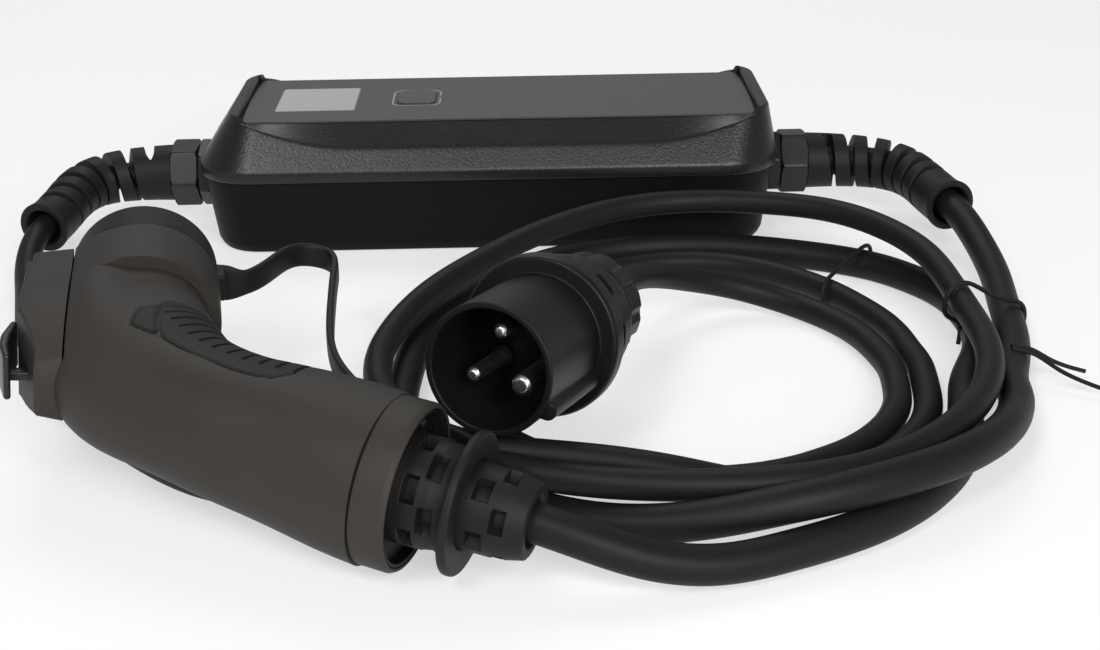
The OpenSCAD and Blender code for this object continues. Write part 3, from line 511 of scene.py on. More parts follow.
def on_plug(p):
    """Plug's frame to the table."""
    return plug_place + np.asarray(p, float) @ plug_frame.T


def on_grip(p):
    """Grip's frame to the table."""
    return grip_place + np.asarray(p, float) @ grip_frame.T


def on_head(p):
    """Head's frame to the table."""
    return head_place + np.asarray(p, float) @ head_frame.T


nut_end = 147.6
left_sleeve = [[-nut_end, 0, gland_z], [-200, 0, gland_z], [-187, -22, 20], [-197, -55, 17]]
right_sleeve = [[nut_end, 0, gland_z], [204, 0, gland_z], [194, -23, 21], [204, -58, 20]]


def sleeve_bore(p):
    """Bottom of the bore in the sleeve's mouth, 14 mm back along its end."""
    p = np.asarray(p, float)
    d = p[3] - p[2]
    return p[3] - 14 * d / np.linalg.norm(d)


plug_route = np.vstack([
    sleeve_bore(left_sleeve), [
        [-197, -55, 17], [-198, -80, 10.5], [-192.5, -104, 6.6], [-186, -129, 5.3], [-177.5, -157, 5.2],
        [-166, -183, 5.2], [-151, -209, 5.2], [-135, -231, 5.2], [-118, -252, 5.2], [-101, -269, 5.2],
        [-81, -281, 5.2], [-58, -284, 7], [-33, -284, 12.5], [-8, -290, 17.9], [18, -301, 18.5], [48, -308, 18],
        [74, -309.5, 18], [102, -306.5, 18], [124, -298, 18], [144, -283, 18], [160, -264, 18], [173, -240, 18],
        [181, -209, 18.5], [182, -180, 19], [181, -153, 20.5], [178, -126, 22.5], [167, -100, 24.5],
        [147, -79, 26], [121, -67, 26], [92, -62.5, 26], [63, -68, 26], [37, -83, 25.5], [14, -103, 24],
        [-6, -126, 22], [-22, -151, 20.5], [-33, -179, 19], [-38, -208, 18.2], [-35, -237, 18],
        [-24, -261, 18], [-4, -279, 18], [20, -287, 18], [42, -290.5, 16.8], [64, -293, 13.5]],
    turns([(-83, 80, 8.6), (-70, 80, 6), (-60, 79.6, 5.1), (-38, 79.4, 5.1), (-9, 80.6, 5.1), (1, 81.4, 5.1),
           (23, 89, 5.1), (47, 105, 5.1), (66, 121.5, 5.1), (82, 132, 5.1), (95, 130, 5.1), (130, 110, 5.1),
           (160, 94, 5.1), (190, 82, 5.1), (230, 74, 5.1), (262, 69.5, 5.1), (300, 67.2, 5.1), (322, 67.8, 5.1),
           (340, 69, 5.1), (361, 70.8, 5.1), (385, 77.3, 5.1), (408, 87, 5.2)]),
    [[118, -133, 7], [99, -130, 12], [81, -136, 18], [67, -148, 24.5], [57, -163, 29.7], [49, -180, 32.6]],
    on_plug([[0, 0, 95], [0, 0, 88]])])
car_route = np.vstack([
    sleeve_bore(right_sleeve), [
        [204, -58, 20], [209, -86, 14], [209.5, -114, 9], [206, -142, 6.8], [202, -168, 6.4], [196, -193, 6.4]],
    turns([(-2, 111.5, 7.4), (-16, 109.6, 9.6), (-30, 108.6, 13.6), (-45, 108.2, 17.2), (-58, 108, 18.8),
           (-70, 107.4, 18.8), (-82, 106.8, 16.4), (-92, 106.3, 13), (-102, 106, 9.4), (-112, 105.8, 7.2),
           (-124, 105.8, 6.2), (-190, 107.5, 6.2), (-215, 117, 6.2), (-240, 135, 6.2), (-251, 142.5, 6.2),
           (-262, 147.5, 6.2), (-275, 148.5, 6.2), (-290, 147, 6.2), (-305, 147, 6.2), (-319, 140.5, 6.2),
           (-335, 123.5, 6.2), (-354, 101, 6.2), (-364, 93.8, 6.2), (-376, 92.8, 6.2), (-392, 97, 6.2),
           (-412, 104, 6.2), (-426, 109.4, 6.2)]),
    [[112, -320, 6.3], [92, -330, 6.4], [70, -338, 7], [50, -341, 10.8], [32, -340, 16.8]],
    on_grip([[38, 0, 0], [29, 0, 0]])])


def cord_piece(name, route, width, sheath, swaps):
    """Tube along the smooth line through a route, with its length kept for the UV map."""
    line, run = smooth_line(route, 2.2)
    made = skin(name, tube(line, width / 2, 28), sheath, swaps=swaps, run=run)
    bend = np.gradient(np.gradient(line, run, axis=0), run, axis=0)
    print(name, "length", round(run[-1]), "tightest bend", round(1 / np.linalg.norm(bend[4:-4], axis=1).max()))
    return made, line, run[-1]


plug_cord, plug_line, plug_length = cord_piece(
    "plug_cord", plug_route, plug_cord_d, plug_sheath, ["plug_cable_lead", "plug_cable_coil", "plug_cable_tail"])
car_cord, car_line, car_length = cord_piece(
    "vehicle_cord", car_route, car_cord_d, car_sheath,
    ["vehicle_cable_lead", "vehicle_cable_coil", "vehicle_cable_tail"])

# %% [markdown]
# ## The case
# The cover is one moulding: an upright band, a slope up to a lip, and a long hollow down each side of the
# panel. Cutting the hollows with booleans would leave hard creases. So the surface is a stack of rounded
# rectangles, and its height is the soft smaller of two heights, the slope outside and the hollow inside.
# The soft minimum rolls the rim over where the two meet, as the mould does.

# %% Rounded-rectangle loops
def loop_marks(long_n, short_n, corner_n):
    """For each point of a loop: its side factors in x and y, and the angle of its corner."""
    s, g, c = (np.linspace(-1, 1, k, endpoint=False) for k in (short_n, long_n, corner_n))
    c = (c + 1) * np.pi / 4
    one_s, one_g, one_c = np.ones(short_n), np.ones(long_n), np.ones(corner_n)
    across = np.concatenate([one_s, one_c, -g, -one_c, -one_s, -one_c, g, one_c])
    along = np.concatenate([s, one_c, one_g, one_c, -s, -one_c, -one_g, -one_c])
    angle = np.concatenate([0 * s, c, 0 * g + np.pi / 2, c + np.pi / 2, 0 * s + np.pi, c + np.pi,
                            0 * g + 1.5 * np.pi, c + 1.5 * np.pi])
    return across, along, angle


def loops(rows, marks):
    """Rows of (length, width, corner radius, shift, height) into rounded-rectangle rings."""
    size_x, size_y, radius, shift, height = (np.asarray(rows, float)[:, k, None] for k in range(5))
    across, along, angle = marks
    x = shift + across * (size_x / 2 - radius) + radius * np.cos(angle)
    y = along * (size_y / 2 - radius) + radius * np.sin(angle)
    return np.stack([x, y, np.broadcast_to(height, x.shape)], -1)


def between(first, last, count):
    """Rows in even steps from one row to another, the first left out."""
    t = np.linspace(0, 1, count + 1)[1:, None]
    return np.asarray(first, float) * (1 - t) + np.asarray(last, float) * t


def ease(t):
    """0 to 1 with level ends."""
    t = np.clip(t, 0, 1)
    return t * t * (3 - 2 * t)


def soft_min(a, b, k):
    """Smaller of two, rounded over about k where they cross."""
    return -k * np.logaddexp(-a / k, -b / k)


case_half_y, panel_half_y = 54, 36.5
slope_z, rim_low, panel_z, lip_z = 39.5, 48, 57.2, 61
slope_run, slope_rise = 13.5, 21.5
panel_shift, hollow_left, hollow_right, climb = 5, -114, 124, 54


def hollow(x, y):
    """Height inside the rim: level with the panel, falling to the rim on the long sides.

    The rim climbs to the lip over the last stretch at each end, and there the ground between panel and rim
    climbs with it. Past the panel's bowed ends it steps up to the lip, less so towards the rim.
    """
    inside = np.minimum(x - hollow_left, hollow_right - x)
    rim = rim_low + (lip_z - rim_low) * np.clip(1 - inside / climb, 0, 1) ** 1.8
    reach = case_half_y - (rim - slope_z) * slope_run / slope_rise - panel_half_y
    beside = np.maximum(np.abs(y) - panel_half_y, 0)
    past_end = np.abs(x - panel_shift) - 112.2 - 2.6 * (1 - np.minimum(1, (y / panel_half_y) ** 2))
    end_step = 4.2 * ease(past_end / 2.4) * (1 - ease(beside / 4.5))
    return panel_z - beside * (panel_z - rim) / reach + end_step


print("height at the panel's middle:", round(float(hollow(panel_shift, 0)), 2))

# %% [markdown]
# Each row of the cover is a length, a width, a corner radius, a shift along the box and a height. The rows go
# from the hidden underside over the band and the slope to the lip, and down into the panel's recess.

# %% Cover
slope_foot, slope_head = [260, 108, 26, 0, slope_z], [242.2, 82.4, 14.6, panel_shift, 59.8]
lip_top, lip_in = [240.2, 80.4, 13.6, panel_shift, lip_z], [232.6, 75.4, 3, panel_shift, lip_z]
under = [[200, 50, 8, 0, 44], [250, 98, 21, 0, 44], [254.6, 102.6, 23.4, 0, 34.5]]
band = [[258.4, 106.4, 25.2, 0, 34.5], [259.5, 107.5, 25.7, 0, 34.8], [260, 108, 26, 0, 35.4],
        [260, 108, 26, 0, 38.9], [259.9, 107.9, 25.95, 0, 39.3], [259.6, 107.55, 25.8, 0, 39.8]]
cover_rows = np.vstack([
    under, band, between(slope_foot, slope_head, 64)[2:], [[241.6, 81.8, 14.2, panel_shift, 60.5]],
    [lip_top], between(lip_top, lip_in, 16),
    [[231.8, 74.6, 1.8, panel_shift, 60.7], [231.4, 74.2, 1.4, panel_shift, 60.1],
     [231.2, 74, 1.2, panel_shift, 58.5], [231.2, 74, 1.2, panel_shift, panel_z],
     [200, 60, 1, panel_shift, panel_z]]])
cover_rings = loops(cover_rows, loop_marks(150, 40, 48))
top_rows = slice(len(under) + len(band), len(cover_rows))
top = cover_rings[top_rows]
cover_rings[top_rows, :, 2] = soft_min(top[..., 2], hollow(top[..., 0], top[..., 1]) + 0.2, 0.28)
cover_rings[-2:, :, 2] = np.minimum(cover_rings[-2:, :, 2], panel_z)
skin("case_cover", cover_rings, case_plastic, swaps=["cover"], crease=50)

# %% [markdown]
# The tub below it tapers towards its foot. Its solid keeps the screw holes underneath, and a thin smooth
# skin over the walls takes away the flat facets of the corners.

# %% Tub walls
foot_low, foot_high = [246.4, 94.4, 19.8, 0, 1.7], [248.9, 96.9, 21, 0, 4.2]
wall_rows = np.vstack([
    [[242.2, 90.2, 17.7, 0, 0.4], [244.2, 92.2, 18.6, 0, 0.5], foot_low],
    between(foot_low, foot_high, 4), between(foot_high, [256.9, 104.9, 24.45, 0, 34.0], 24)])
shell_in = wall_rows[::-1] - np.array([1.6, 1.6, 0.8, 0, 0])
wall_rings = loops(np.vstack([wall_rows, shell_in]), loop_marks(60, 24, 32))
skin("tub_walls", wall_rings, tub_plastic, ring_wrap=True)

# %% [markdown]
# ## Glands and spiral sleeves
# Each end of the box has a hexagon flange, a dark seal and a hexagon nut. A hexagon with soft corners is
# a sum of high powers of six cosines, which gives the whole ring in one line where a bevelled cylinder would
# need picked edges.

# %% Hexagons
gland_x = 130.2


def hexagon(height, corners, turn_deg, chamfer):
    """Radius by angle and height: soft hexagon, cut back at both faces by a cone."""
    z = np.concatenate([np.linspace(0, 1.4, 8), np.linspace(1.4, height - 1.4, 4)[1:-1],
                        np.linspace(height - 1.4, height, 8)])
    a = np.linspace(0, 2 * np.pi, 144, endpoint=False)
    face = a[:, None] - np.radians(turn_deg + 30 + 60 * np.arange(6))
    flat = corners / 2 * math.cos(math.pi / 6) / (np.clip(np.cos(face), 0, 1) ** 60).sum(1) ** (1 / 60)
    cone = corners / 2 - chamfer + np.minimum(z, height - z)[:, None] * 1.7
    r = soft_min(flat[None], cone, 0.12)
    return np.stack([r * np.cos(a), r * np.sin(a), np.broadcast_to(z[:, None], r.shape)], -1)


def on_gland(p, hand):
    """From the gland's own axis to the box end: outwards is -X on the left and +X on the right."""
    return np.stack([hand * (gland_x + p[..., 2]), p[..., 1], gland_z - hand * p[..., 0]], -1)


def lathe(profile, around=96):
    """Profile of (radius, height) turned round Z."""
    r, z = np.asarray(profile, float).T[..., None]
    a = np.linspace(0, 2 * np.pi, around, endpoint=False)
    return np.stack([r * np.cos(a), r * np.sin(a), np.broadcast_to(z, (len(r), around))], -1)


def soften(points, radius, steps=5):
    """Each inner corner of a profile becomes a short curve that starts radius before it."""
    p = np.asarray(points, float)
    back, on = p[:-2] - p[1:-1], p[2:] - p[1:-1]
    lb, lo = np.linalg.norm(back, axis=1)[:, None], np.linalg.norm(on, axis=1)[:, None]
    start = p[1:-1] + back / lb * np.minimum(radius, lb * 0.45)
    stop = p[1:-1] + on / lo * np.minimum(radius, lo * 0.45)
    t = np.linspace(0, 1, steps)[None, :, None]
    curve = (1 - t) ** 2 * start[:, None] + 2 * t * (1 - t) * p[1:-1, None] + t**2 * stop[:, None]
    return np.vstack([p[:1], curve.reshape(-1, p.shape[1]), p[-1:]])


for hand, side in ((-1, "left"), (1, "right")):
    flange = on_gland(hexagon(4.5, 31, 12, 0.9), hand)
    nut = on_gland(hexagon(11.9, 31.5, 24, 1.2) + [0, 0, 5.5], hand)
    neck = on_gland(lathe(soften([[5, 14], [10.5, 15], [10.5, 19.4], [5, 19.4]], 0.6)), hand)
    skin(f"gland_flange_{side}", flange, gland_plastic, swaps=[f"gland_body_{side}"])
    skin(f"gland_hex_nut_{side}", [nut, neck], gland_plastic, swaps=[f"gland_nut_{side}"])

# %% [markdown]
# The rubber sleeve behind each nut is a strip wound as a spiral, so that it bends but can't kink. It could be
# a strip carried along a helix; as one tube whose radius drops in the gap it stays closed, and it can bend
# with the cord. The gap is where a point lies near a helix, and it is widest on the outside of the bend.

# %% Spiral sleeves
def spiral_sleeve(path, cord_r, bore_r, first_deg, wide_deg):
    """Radius along a bent path: taper, a helical gap down to the cord, a flared mouth and its bore.

    The gap starts at first_deg, 10 mm from the nut, and moves one pitch along for each turn. Its width is
    a cosine of the angle: most at wide_deg, on the outside of the bend, and least on the inside.
    """
    line, run = smooth_line(curve_at(path, np.linspace(0, 1, 40)), 0.17)
    side, lift = side_and_lift(line)
    a = np.linspace(0, 2 * np.pi, 84, endpoint=False)
    start, pitch, stop = 10.0, 10.4, run[-1] - 12
    part_turn = ((np.radians(first_deg) - a) / (2 * np.pi)) % 1
    count = (run[:, None] - start) / pitch - part_turn
    middle = np.maximum(np.round(count), 0)
    spot = start + pitch * (middle + part_turn)
    half = 0.145 + 0.065 * np.cos(a - np.radians(wide_deg))
    half = half * np.sqrt(np.clip((spot - start) / 0.5, 0, 1) * np.clip((stop - spot) / 0.5, 0, 1))
    gap = ease((half - np.abs(count - middle)) / 0.05 + 0.5) * (half > 0)
    outer = 13 - 2.3 * np.minimum(1, run / 62) + 0.7 * ease((run - run[-1] + 7) / 7)
    r = outer[:, None] - gap * (outer[:, None] - cord_r - 0.7)
    r = r - 0.6 * ease(1 - run / 0.7)[:, None] - 0.5 * ease((run - run[-1] + 0.7) / 0.7)[:, None]
    ring = (r * np.cos(a))[..., None] * side[:, None] + (r * np.sin(a))[..., None] * lift[:, None]
    back = (line[-2] - line[-1]) / np.linalg.norm(line[-2] - line[-1])
    depth = np.array([-0.1, 0.4, 3, 13.9])
    flare = np.array([1.2, 0.4, 0.1, 0]) + bore_r
    hole = line[-1] + depth[:, None, None] * back + flare[:, None, None] * (
        np.cos(a)[:, None] * side[-1] + np.sin(a)[:, None] * lift[-1])
    return np.vstack([line[:, None] + ring, hole])


for side, path, cord_d, bore_r, first_deg, wide_deg in (
        ("left", left_sleeve, plug_cord_d, 7.6, 130, 45), ("right", right_sleeve, car_cord_d, 8.1, 100, 135)):
    skin(f"spiral_sleeve_{side}", spiral_sleeve(path, cord_d / 2, bore_r, first_deg, wide_deg), soft_rubber,
         swaps=[f"bend_protector_{side}"], crease=55)

# %% [markdown]
# ## The connector
# The pistol grip is lofted through stations like the solid model's with a cubic between them, then carried on
# as the barrel. A sculpted or subdivided cage would do too, but with a formula the inlay and the head cover can
# be taken from the same surface and fit it. Three things make it more than a tube. The outer side of the bend
# swells out to a flat seat for the head cover, which is a clamp on one coordinate. Behind the barrel's rim the
# surface sinks on the top and the inner side, so the rim stands out as an arch. And the rubber inlay lies in a
# shallow pocket.

# %% Grip loft
grip_marks = np.array([
    [-9.5, 0, 26, 26, 26], [-20, 1.4, 25.8, 25.8, 25.8], [-33, 3, 25, 25, 25], [-46, 4, 23.5, 23.7, 24],
    [-58, 5, 22.5, 23.4, 23], [-70, 7.5, 22, 24, 22.5], [-81, 11, 22.5, 26, 22.5], [-90, 15, 24, 29, 23.5],
    [-98, 20, 25.5, 31.5, 24.5], [-105, 27, 26, 32.5, 25.5], [-111, 36, 26, 32.5, 26], [-116, 43, 26, 31.5, 26],
    [-120.9, 50.7, 26, 30.5, 26]])
last_mark = len(grip_marks) - 1
print("grip stations:", len(grip_marks))
sink_depth, seat_x, squareness = 4.2, 23.5, 0.92


def grip_section(t):
    """Catmull-Rom through the marks: centre x and y, inner and outer half width, half height."""
    i = np.clip(np.floor(t).astype(int), 0, last_mark - 1)
    f = (t - i)[:, None]
    a, b, c, d = (grip_marks[np.clip(i + k, 0, last_mark)] for k in (-1, 0, 1, 2))
    return b + 0.5 * f * (c - a + f * (2 * a - 5 * b + 4 * c - d + f * (3 * (b - c) + d - a)))


def power_wave(w, e):
    """Signed power, which squares a circle up a little."""
    return np.sign(w) * np.abs(w) ** e


def sink_window(a):
    """1 on the top and the inner side, 0 on the outer side, which stays level with the barrel."""
    deg = np.degrees(a)
    return ease((128 - deg) / 34) * ease((deg + 115) / 50)


def grip_surface(t, a, grow=0.0):
    """Point of the grip at station t and angle a (arrays of one shape), in the grip's own frame.

    The section's half sizes, grown and sunk, times a squared-up cosine and sine, square to the way it runs.
    """
    flat_t = t.ravel()
    s = grip_section(flat_t)
    d = (grip_section(np.minimum(flat_t + 0.01, last_mark)) - grip_section(np.maximum(flat_t - 0.01, 0)))[:, :2]
    end = turn("Z", HEAD_TURN)[:2, 1]
    d /= np.linalg.norm(d, axis=1)[:, None]
    w = ease(flat_t - last_mark + 1)[:, None]
    d = d * (1 - w) + end * w
    d = d * np.stack([np.ones_like(flat_t), 0.15 + 0.85 * ease(flat_t / 1.2)], -1)
    d /= np.linalg.norm(d, axis=1)[:, None]
    ang, grow = a.ravel(), np.broadcast_to(grow, t.shape).ravel()
    sink = sink_depth * ease((flat_t - 7.2) / 4.2) * sink_window(ang)
    wide = np.where(np.cos(ang) > 0, s[:, 2], s[:, 3]) + grow - sink
    tall = s[:, 4] + grow - sink
    c, h = wide * power_wave(np.cos(ang), squareness), tall * power_wave(np.sin(ang), squareness)
    return np.stack([s[:, 0] + c * d[:, 1], s[:, 1] - c * d[:, 0], h], -1).reshape(*t.shape, 3)


def to_head(p):
    """Grip frame to head frame."""
    return (p - head_local) @ turn("Z", HEAD_TURN)


def from_head(q):
    """Head frame to grip frame."""
    return q @ turn("Z", -HEAD_TURN) + head_local


def seat(p):
    """Clamps the head's outer side to the flat seat of the head cover."""
    q = to_head(p)
    hold = ease((q[..., 1] + 76) / 2) * ease((-1.4 - q[..., 1]) / 0.5)
    flat = -soft_min(-q[..., 0], np.full(q.shape[:-1], seat_x), 0.25)
    q[..., 0] = q[..., 0] * (1 - hold) + flat * hold
    return from_head(q)


# %% [markdown]
# The shell is the grip's rings and then the barrel's, in one stack, so there is no seam between them. The inlay's
# pocket is a change of radius inside its outline.

# %% Grip shell and barrel
around = np.radians(np.linspace(-180, 180, 250, endpoint=False))
stations = np.linspace(0, last_mark, 330)
pocket_start, pocket_end, pocket_top, pocket_depth = 2.7, 8.9, 28, 0.8
t_grid, a_grid = np.meshgrid(stations, around, indexing="ij")


def inlay_edge(t):
    """Lower edge of the long inlay piece, in degrees round the grip."""
    return np.interp(t, [2.7, 3.1, 3.56, 5.15, 6.54, 8.46, 8.9], [88, 100, 102, 101, 102, 84.5, 75.5])


def pocket_edge(t):
    """Lower edge of the whole pocket, with the small front piece."""
    return np.interp(t, [2.7, 3.1, 3.56, 5.15, 6.54, 6.78, 7.67, 8.39, 8.5, 8.9],
                     [88, 100, 102, 101, 102, 103.5, 109, 97.5, 86, 75.5])


deg_grid = np.degrees(a_grid)
in_pocket = ease((pocket_edge(t_grid) - deg_grid) / 1.2) * ease((deg_grid - pocket_top) / 1.6)
in_pocket = in_pocket * ease((t_grid - pocket_start) / 0.05) * ease((pocket_end - t_grid) / 0.05)
grip_rings = grip_surface(t_grid, a_grid, -pocket_depth * in_pocket)
rim_y, rim_drop = [-28.9, -28.6, -28.1, -27.2], [1.7, 0.8, 0.25, 0]
mouth_y = [-4.2, -3.4, -2.8, -2.5, -2.2, -1.9, -1.6, -1.3]
barrel_y = np.concatenate([rim_y, np.linspace(-26, -5, 22), mouth_y])[:, None]
rim = np.interp(barrel_y, rim_y, rim_drop) * sink_window(around)
flare = np.where(np.cos(around) < 0, 4.4 * ease((-barrel_y - 1.6) / 1.2), 0)
barrel_r = 26.1 - rim - 0.4 * (barrel_y > -1.5)
barrel_rings = from_head(np.stack(np.broadcast_arrays(
    (barrel_r + flare) * np.cos(around), barrel_y, barrel_r * np.sin(around)), -1))
head_rings = np.vstack([grip_rings, barrel_rings])
skin("grip_shell", on_grip(seat(head_rings)), grip_plastic, swaps=["connector_shell"], crease=60)

# %% [markdown]
# The inlay is a soft patch in two pieces that gives the fingers a hold: a long one with a row of notches across
# it, and a small plain one in front. Each is ruled between its two edges on the grip's own surface, a little
# inside the pocket, so that a thin dark line runs round it as on the real grip.

# %% Inlay
def inlay_patch(t1, t2, low, high, notches):
    """Closed patch: an upper sheet over the pocket and a lower sheet inside it, joined round the rim."""
    u, v = np.meshgrid(np.linspace(0, 1, 240), np.linspace(0, 1, 64), indexing="ij")
    t = t1 + (t2 - t1) * u
    wide = low(t) - high(t)
    deg = low(t) - wide * v
    rim = np.minimum(np.minimum(u, 1 - u) * (t2 - t1) * 10, np.minimum(v, 1 - v) * wide * 0.4)
    lift = 0.3 * ease(rim / 1.0) - 0.2
    cut = ease((np.cos(2 * np.pi * u * notches) - 0.72) / 0.16) * ease((87 - deg) / 2) * ease((deg - 40) / 4)
    upper = grip_surface(t, np.radians(deg), lift - 0.8 * cut * bool(notches))
    lower = grip_surface(t, np.radians(deg), np.full(t.shape, -1.4))
    return np.concatenate([upper, lower[:, ::-1]], axis=1)


long_piece = inlay_patch(2.76, 8.84, lambda t: inlay_edge(t) - 0.8, lambda t: 0 * t + 29.5, 12)
front_piece = inlay_patch(6.95, 8.40, lambda t: pocket_edge(t) - 0.8, lambda t: inlay_edge(t) + 0.5, 0)
skin("grip_inlay_patch", [on_grip(long_piece), on_grip(front_piece)], soft_rubber,
     swaps=["grip_inlay"], crease=50)

# %% [markdown]
# The head cover closes the flat seat on the outer side of the head. Its outline has to follow the shell, so it
# is read off the shell's own rings: each ring's two crossings of the seat give the top and the bottom edge. Box
# sections between those edges, with a soft corner, are then stacked along the head. The latch beside it is made
# of plan outlines with rounded edges.

# %% Head cover and latch
def head_cover_rings(rings, y):
    """Box sections along the head: the outline is where the shell crosses the seat, the depth a step curve.

    Each section runs out along its top face, round a soft corner, down its outer face and back below.
    """
    q = np.roll(to_head(rings), len(around) // 2, axis=1)
    q = q[q[..., 0].min(1) < -seat_x - 0.3]
    past = q[..., 0] < -seat_x
    row = np.arange(len(q))
    low, high = past.argmax(1), q.shape[1] - 1 - past[:, ::-1].argmax(1)
    order = np.argsort(q[row, high, 1])
    ends = [np.interp(y, q[row, k, 1][order], q[row, k, 2][order]) for k in (low, high)]
    top, bottom = np.maximum(*ends), np.minimum(*ends)
    out = np.interp(y, [-70, -50, -10.6, -10.2, -3.6, -1.9], [8.4, 15, 15, 13.4, 13.4, 9.5])
    edge = np.minimum(1.3, (top - bottom) * 0.3)
    fall = np.minimum(1.6, (top - bottom) * 0.1)
    t = np.linspace(0, 1, 14)
    bend = np.radians(np.linspace(0, 90, 7))
    upper = np.stack([
        np.concatenate([(out - edge)[:, None] * t, (out - edge)[:, None] + edge[:, None] * np.sin(bend)], 1),
        np.concatenate([fall[:, None] * t, (fall + edge)[:, None] - edge[:, None] * np.cos(bend)], 1)], -1)
    x = np.concatenate([upper[..., 0], upper[:, ::-1, 0]], 1)
    z = np.concatenate([top[:, None] - upper[..., 1], bottom[:, None] + upper[:, ::-1, 1]], 1)
    return from_head(np.stack([-seat_x - 0.5 - x, np.broadcast_to(y[:, None], x.shape), z], -1))


cover_y = np.concatenate([[-75.4, -75.2, -74.8, -74.2, -73.4, -72.5], np.linspace(-71.5, -11, 60), [-10.6, -10.2],
                          np.linspace(-9.5, -4.2, 8), [-3.6, -3, -2.4, -1.9]])


def plan_block(outline, low, high, edge, corner):
    """Outline in plan, softened, stacked in levels that shrink by edge*(1-sin) towards both faces."""
    p = np.asarray(outline, float)
    p = soften(np.vstack([(p[-1] + p[0]) / 2, p, (p[-1] + p[0]) / 2]), corner, 6)[:-1]
    run = np.roll(p, -1, axis=0) - np.roll(p, 1, axis=0)
    normal = np.stack([run[:, 1], -run[:, 0]], -1) / np.linalg.norm(run, axis=1)[:, None]
    area = (p[:, 0] * np.roll(p[:, 1], -1) - p[:, 1] * np.roll(p[:, 0], -1)).sum()
    normal = normal * np.sign(area)
    f = np.radians(np.linspace(0, 90, 7))
    inset = np.concatenate([edge * (1 - np.sin(f)), edge * (1 - np.sin(f[::-1]))])
    z = np.concatenate([low + edge * (1 - np.cos(f)), high - edge * (1 - np.cos(f[::-1]))])
    flat = p[None] - inset[:, None, None] * normal[None]
    return np.concatenate([flat, np.broadcast_to(z[:, None, None], (*flat.shape[:2], 1))], -1)


skin("head_side_cover", on_grip(head_cover_rings(head_rings, cover_y)), grip_plastic,
     swaps=["head_cover"], crease=50)
latch_half = 4.4
latch_bar = plan_block([[-35, 12.8], [-31, 12.8], [-31, -61.5], [-35, -61.5]], -latch_half, latch_half, 0.7, 0.8)
latch_hook = plan_block([[-34, 12.8], [-27.4, 12.8], [-27.4, 9.4], [-34, 9.4]], -latch_half, latch_half, 0.7, 0.8)
latch_web = plan_block([[-42, -62], [-33, -62], [-33, -58], [-42, -58]], -latch_half, -1.2, 0.7, 0.8)
latch_thumb = plan_block([
    [-41.6, -43], [-39.4, -43.6], [-40.8, -54], [-41, -60], [-39.8, -68], [-42, -68.4], [-44, -60], [-44, -53]],
    -8, 8, 1, 1.4)
skin("latch_arm", [on_head(b) for b in (latch_bar, latch_hook, latch_web, latch_thumb)], case_plastic,
     body="latch_lever", swaps=["latch_lever"], crease=50)

# %% [markdown]
# A rubber cap keeps dust off the contacts, and a strap ties it to the boot at the other end of the grip.
# The cap is a turned profile with a tab for the strap. The strap is a flat tube along a smooth line. It runs
# between two bodies, from the cap's tab to the ring on the boot, and rides on neither of them.

# %% Dust cap and strap
def on_nose(p):
    """Nose coordinates (height along the nose) to the table."""
    return on_head(np.stack([p[..., 0], p[..., 2], -p[..., 1]], -1))


def on_boot(p):
    """Boot coordinates (height back along the cord) to the table."""
    return on_grip(np.stack([p[..., 2], p[..., 1], -p[..., 0]], -1))


cap_bore_r, cap_floor = 22.05, 18.2
cap_wall = soften([[cap_bore_r, 18], [cap_bore_r, 0], [25.2, 0], [25.5, 3], [25.4, 17], [22.6, 20], [2, 20.2]], 1.6, 7)
cap_profile = np.vstack([[[2, cap_floor], [cap_bore_r, cap_floor]], cap_wall])
tab = plan_block([[23, 2.2], [28.2, 2.6], [28.2, 13.4], [23, 13.8]], -5, 5, 1, 0.8)
tab = np.stack([tab[..., 0], tab[..., 2], tab[..., 1]], -1)
skin("dust_cover", [on_nose(lathe(cap_profile, 128)), on_nose(tab)], soft_rubber, body="dust_cap",
     swaps=["dust_cap"], crease=50)

strap_points = np.vstack([
    on_head([[27.6, 8, 0], [33, 8, 0]]),
    [[-82, -184, 41.6], [-77, -169, 41], [-69, -157, 39.5], [-60.5, -157, 37.5], [-56.5, -171, 35.5],
     [-55.5, -194, 33.5], [-54, -216, 31.5], [-50, -239, 30], [-41, -261, 29.2], [-28, -280, 29], [-12, -293, 28.6],
     [-1, -301.5, 26.6]],
    on_grip([[17.5, 21.6, 0], [17.5, 19.5, 0]])])
strap_line, strap_run = smooth_line(strap_points, 1.2)
strap_side, strap_lift = side_and_lift(strap_line)
b = np.linspace(0, 2 * np.pi, 40, endpoint=False)
strap_half_thick, strap_half_wide = 1.4, 4.5 + 2.2 * ease(1 - strap_run / 9)
strap_rings = (strap_line[:, None]
               + strap_half_thick * power_wave(np.cos(b), 0.5)[None, :, None] * strap_side[:, None]
               + (strap_half_wide[:, None] * power_wave(np.sin(b), 0.5))[..., None] * strap_lift[:, None])
strap = skin("cap_tether", strap_rings, soft_rubber, body=None, swaps=["cap_strap"], crease=60)
strap_line[-60] * MM
strap_line[6] * MM
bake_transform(strap)
ring_profile = soften([[13.6, 17.5], [13.6, 16], [22, 16], [22, 19], [13.6, 19], [13.6, 17.5]], 1.1, 6)
skin("tether_ring", on_boot(lathe(ring_profile[:-1], 96)), soft_rubber, ring_wrap=True, crease=50)

# %% [markdown]
# The end collar is a band that carries the grip's line on, round a dark cup that the boot stands in; both are
# turned profiles. The strain boot has windows that let it bend. Cutting them with booleans would leave long thin
# faces, so they are places where its radius drops, staggered from row to row.

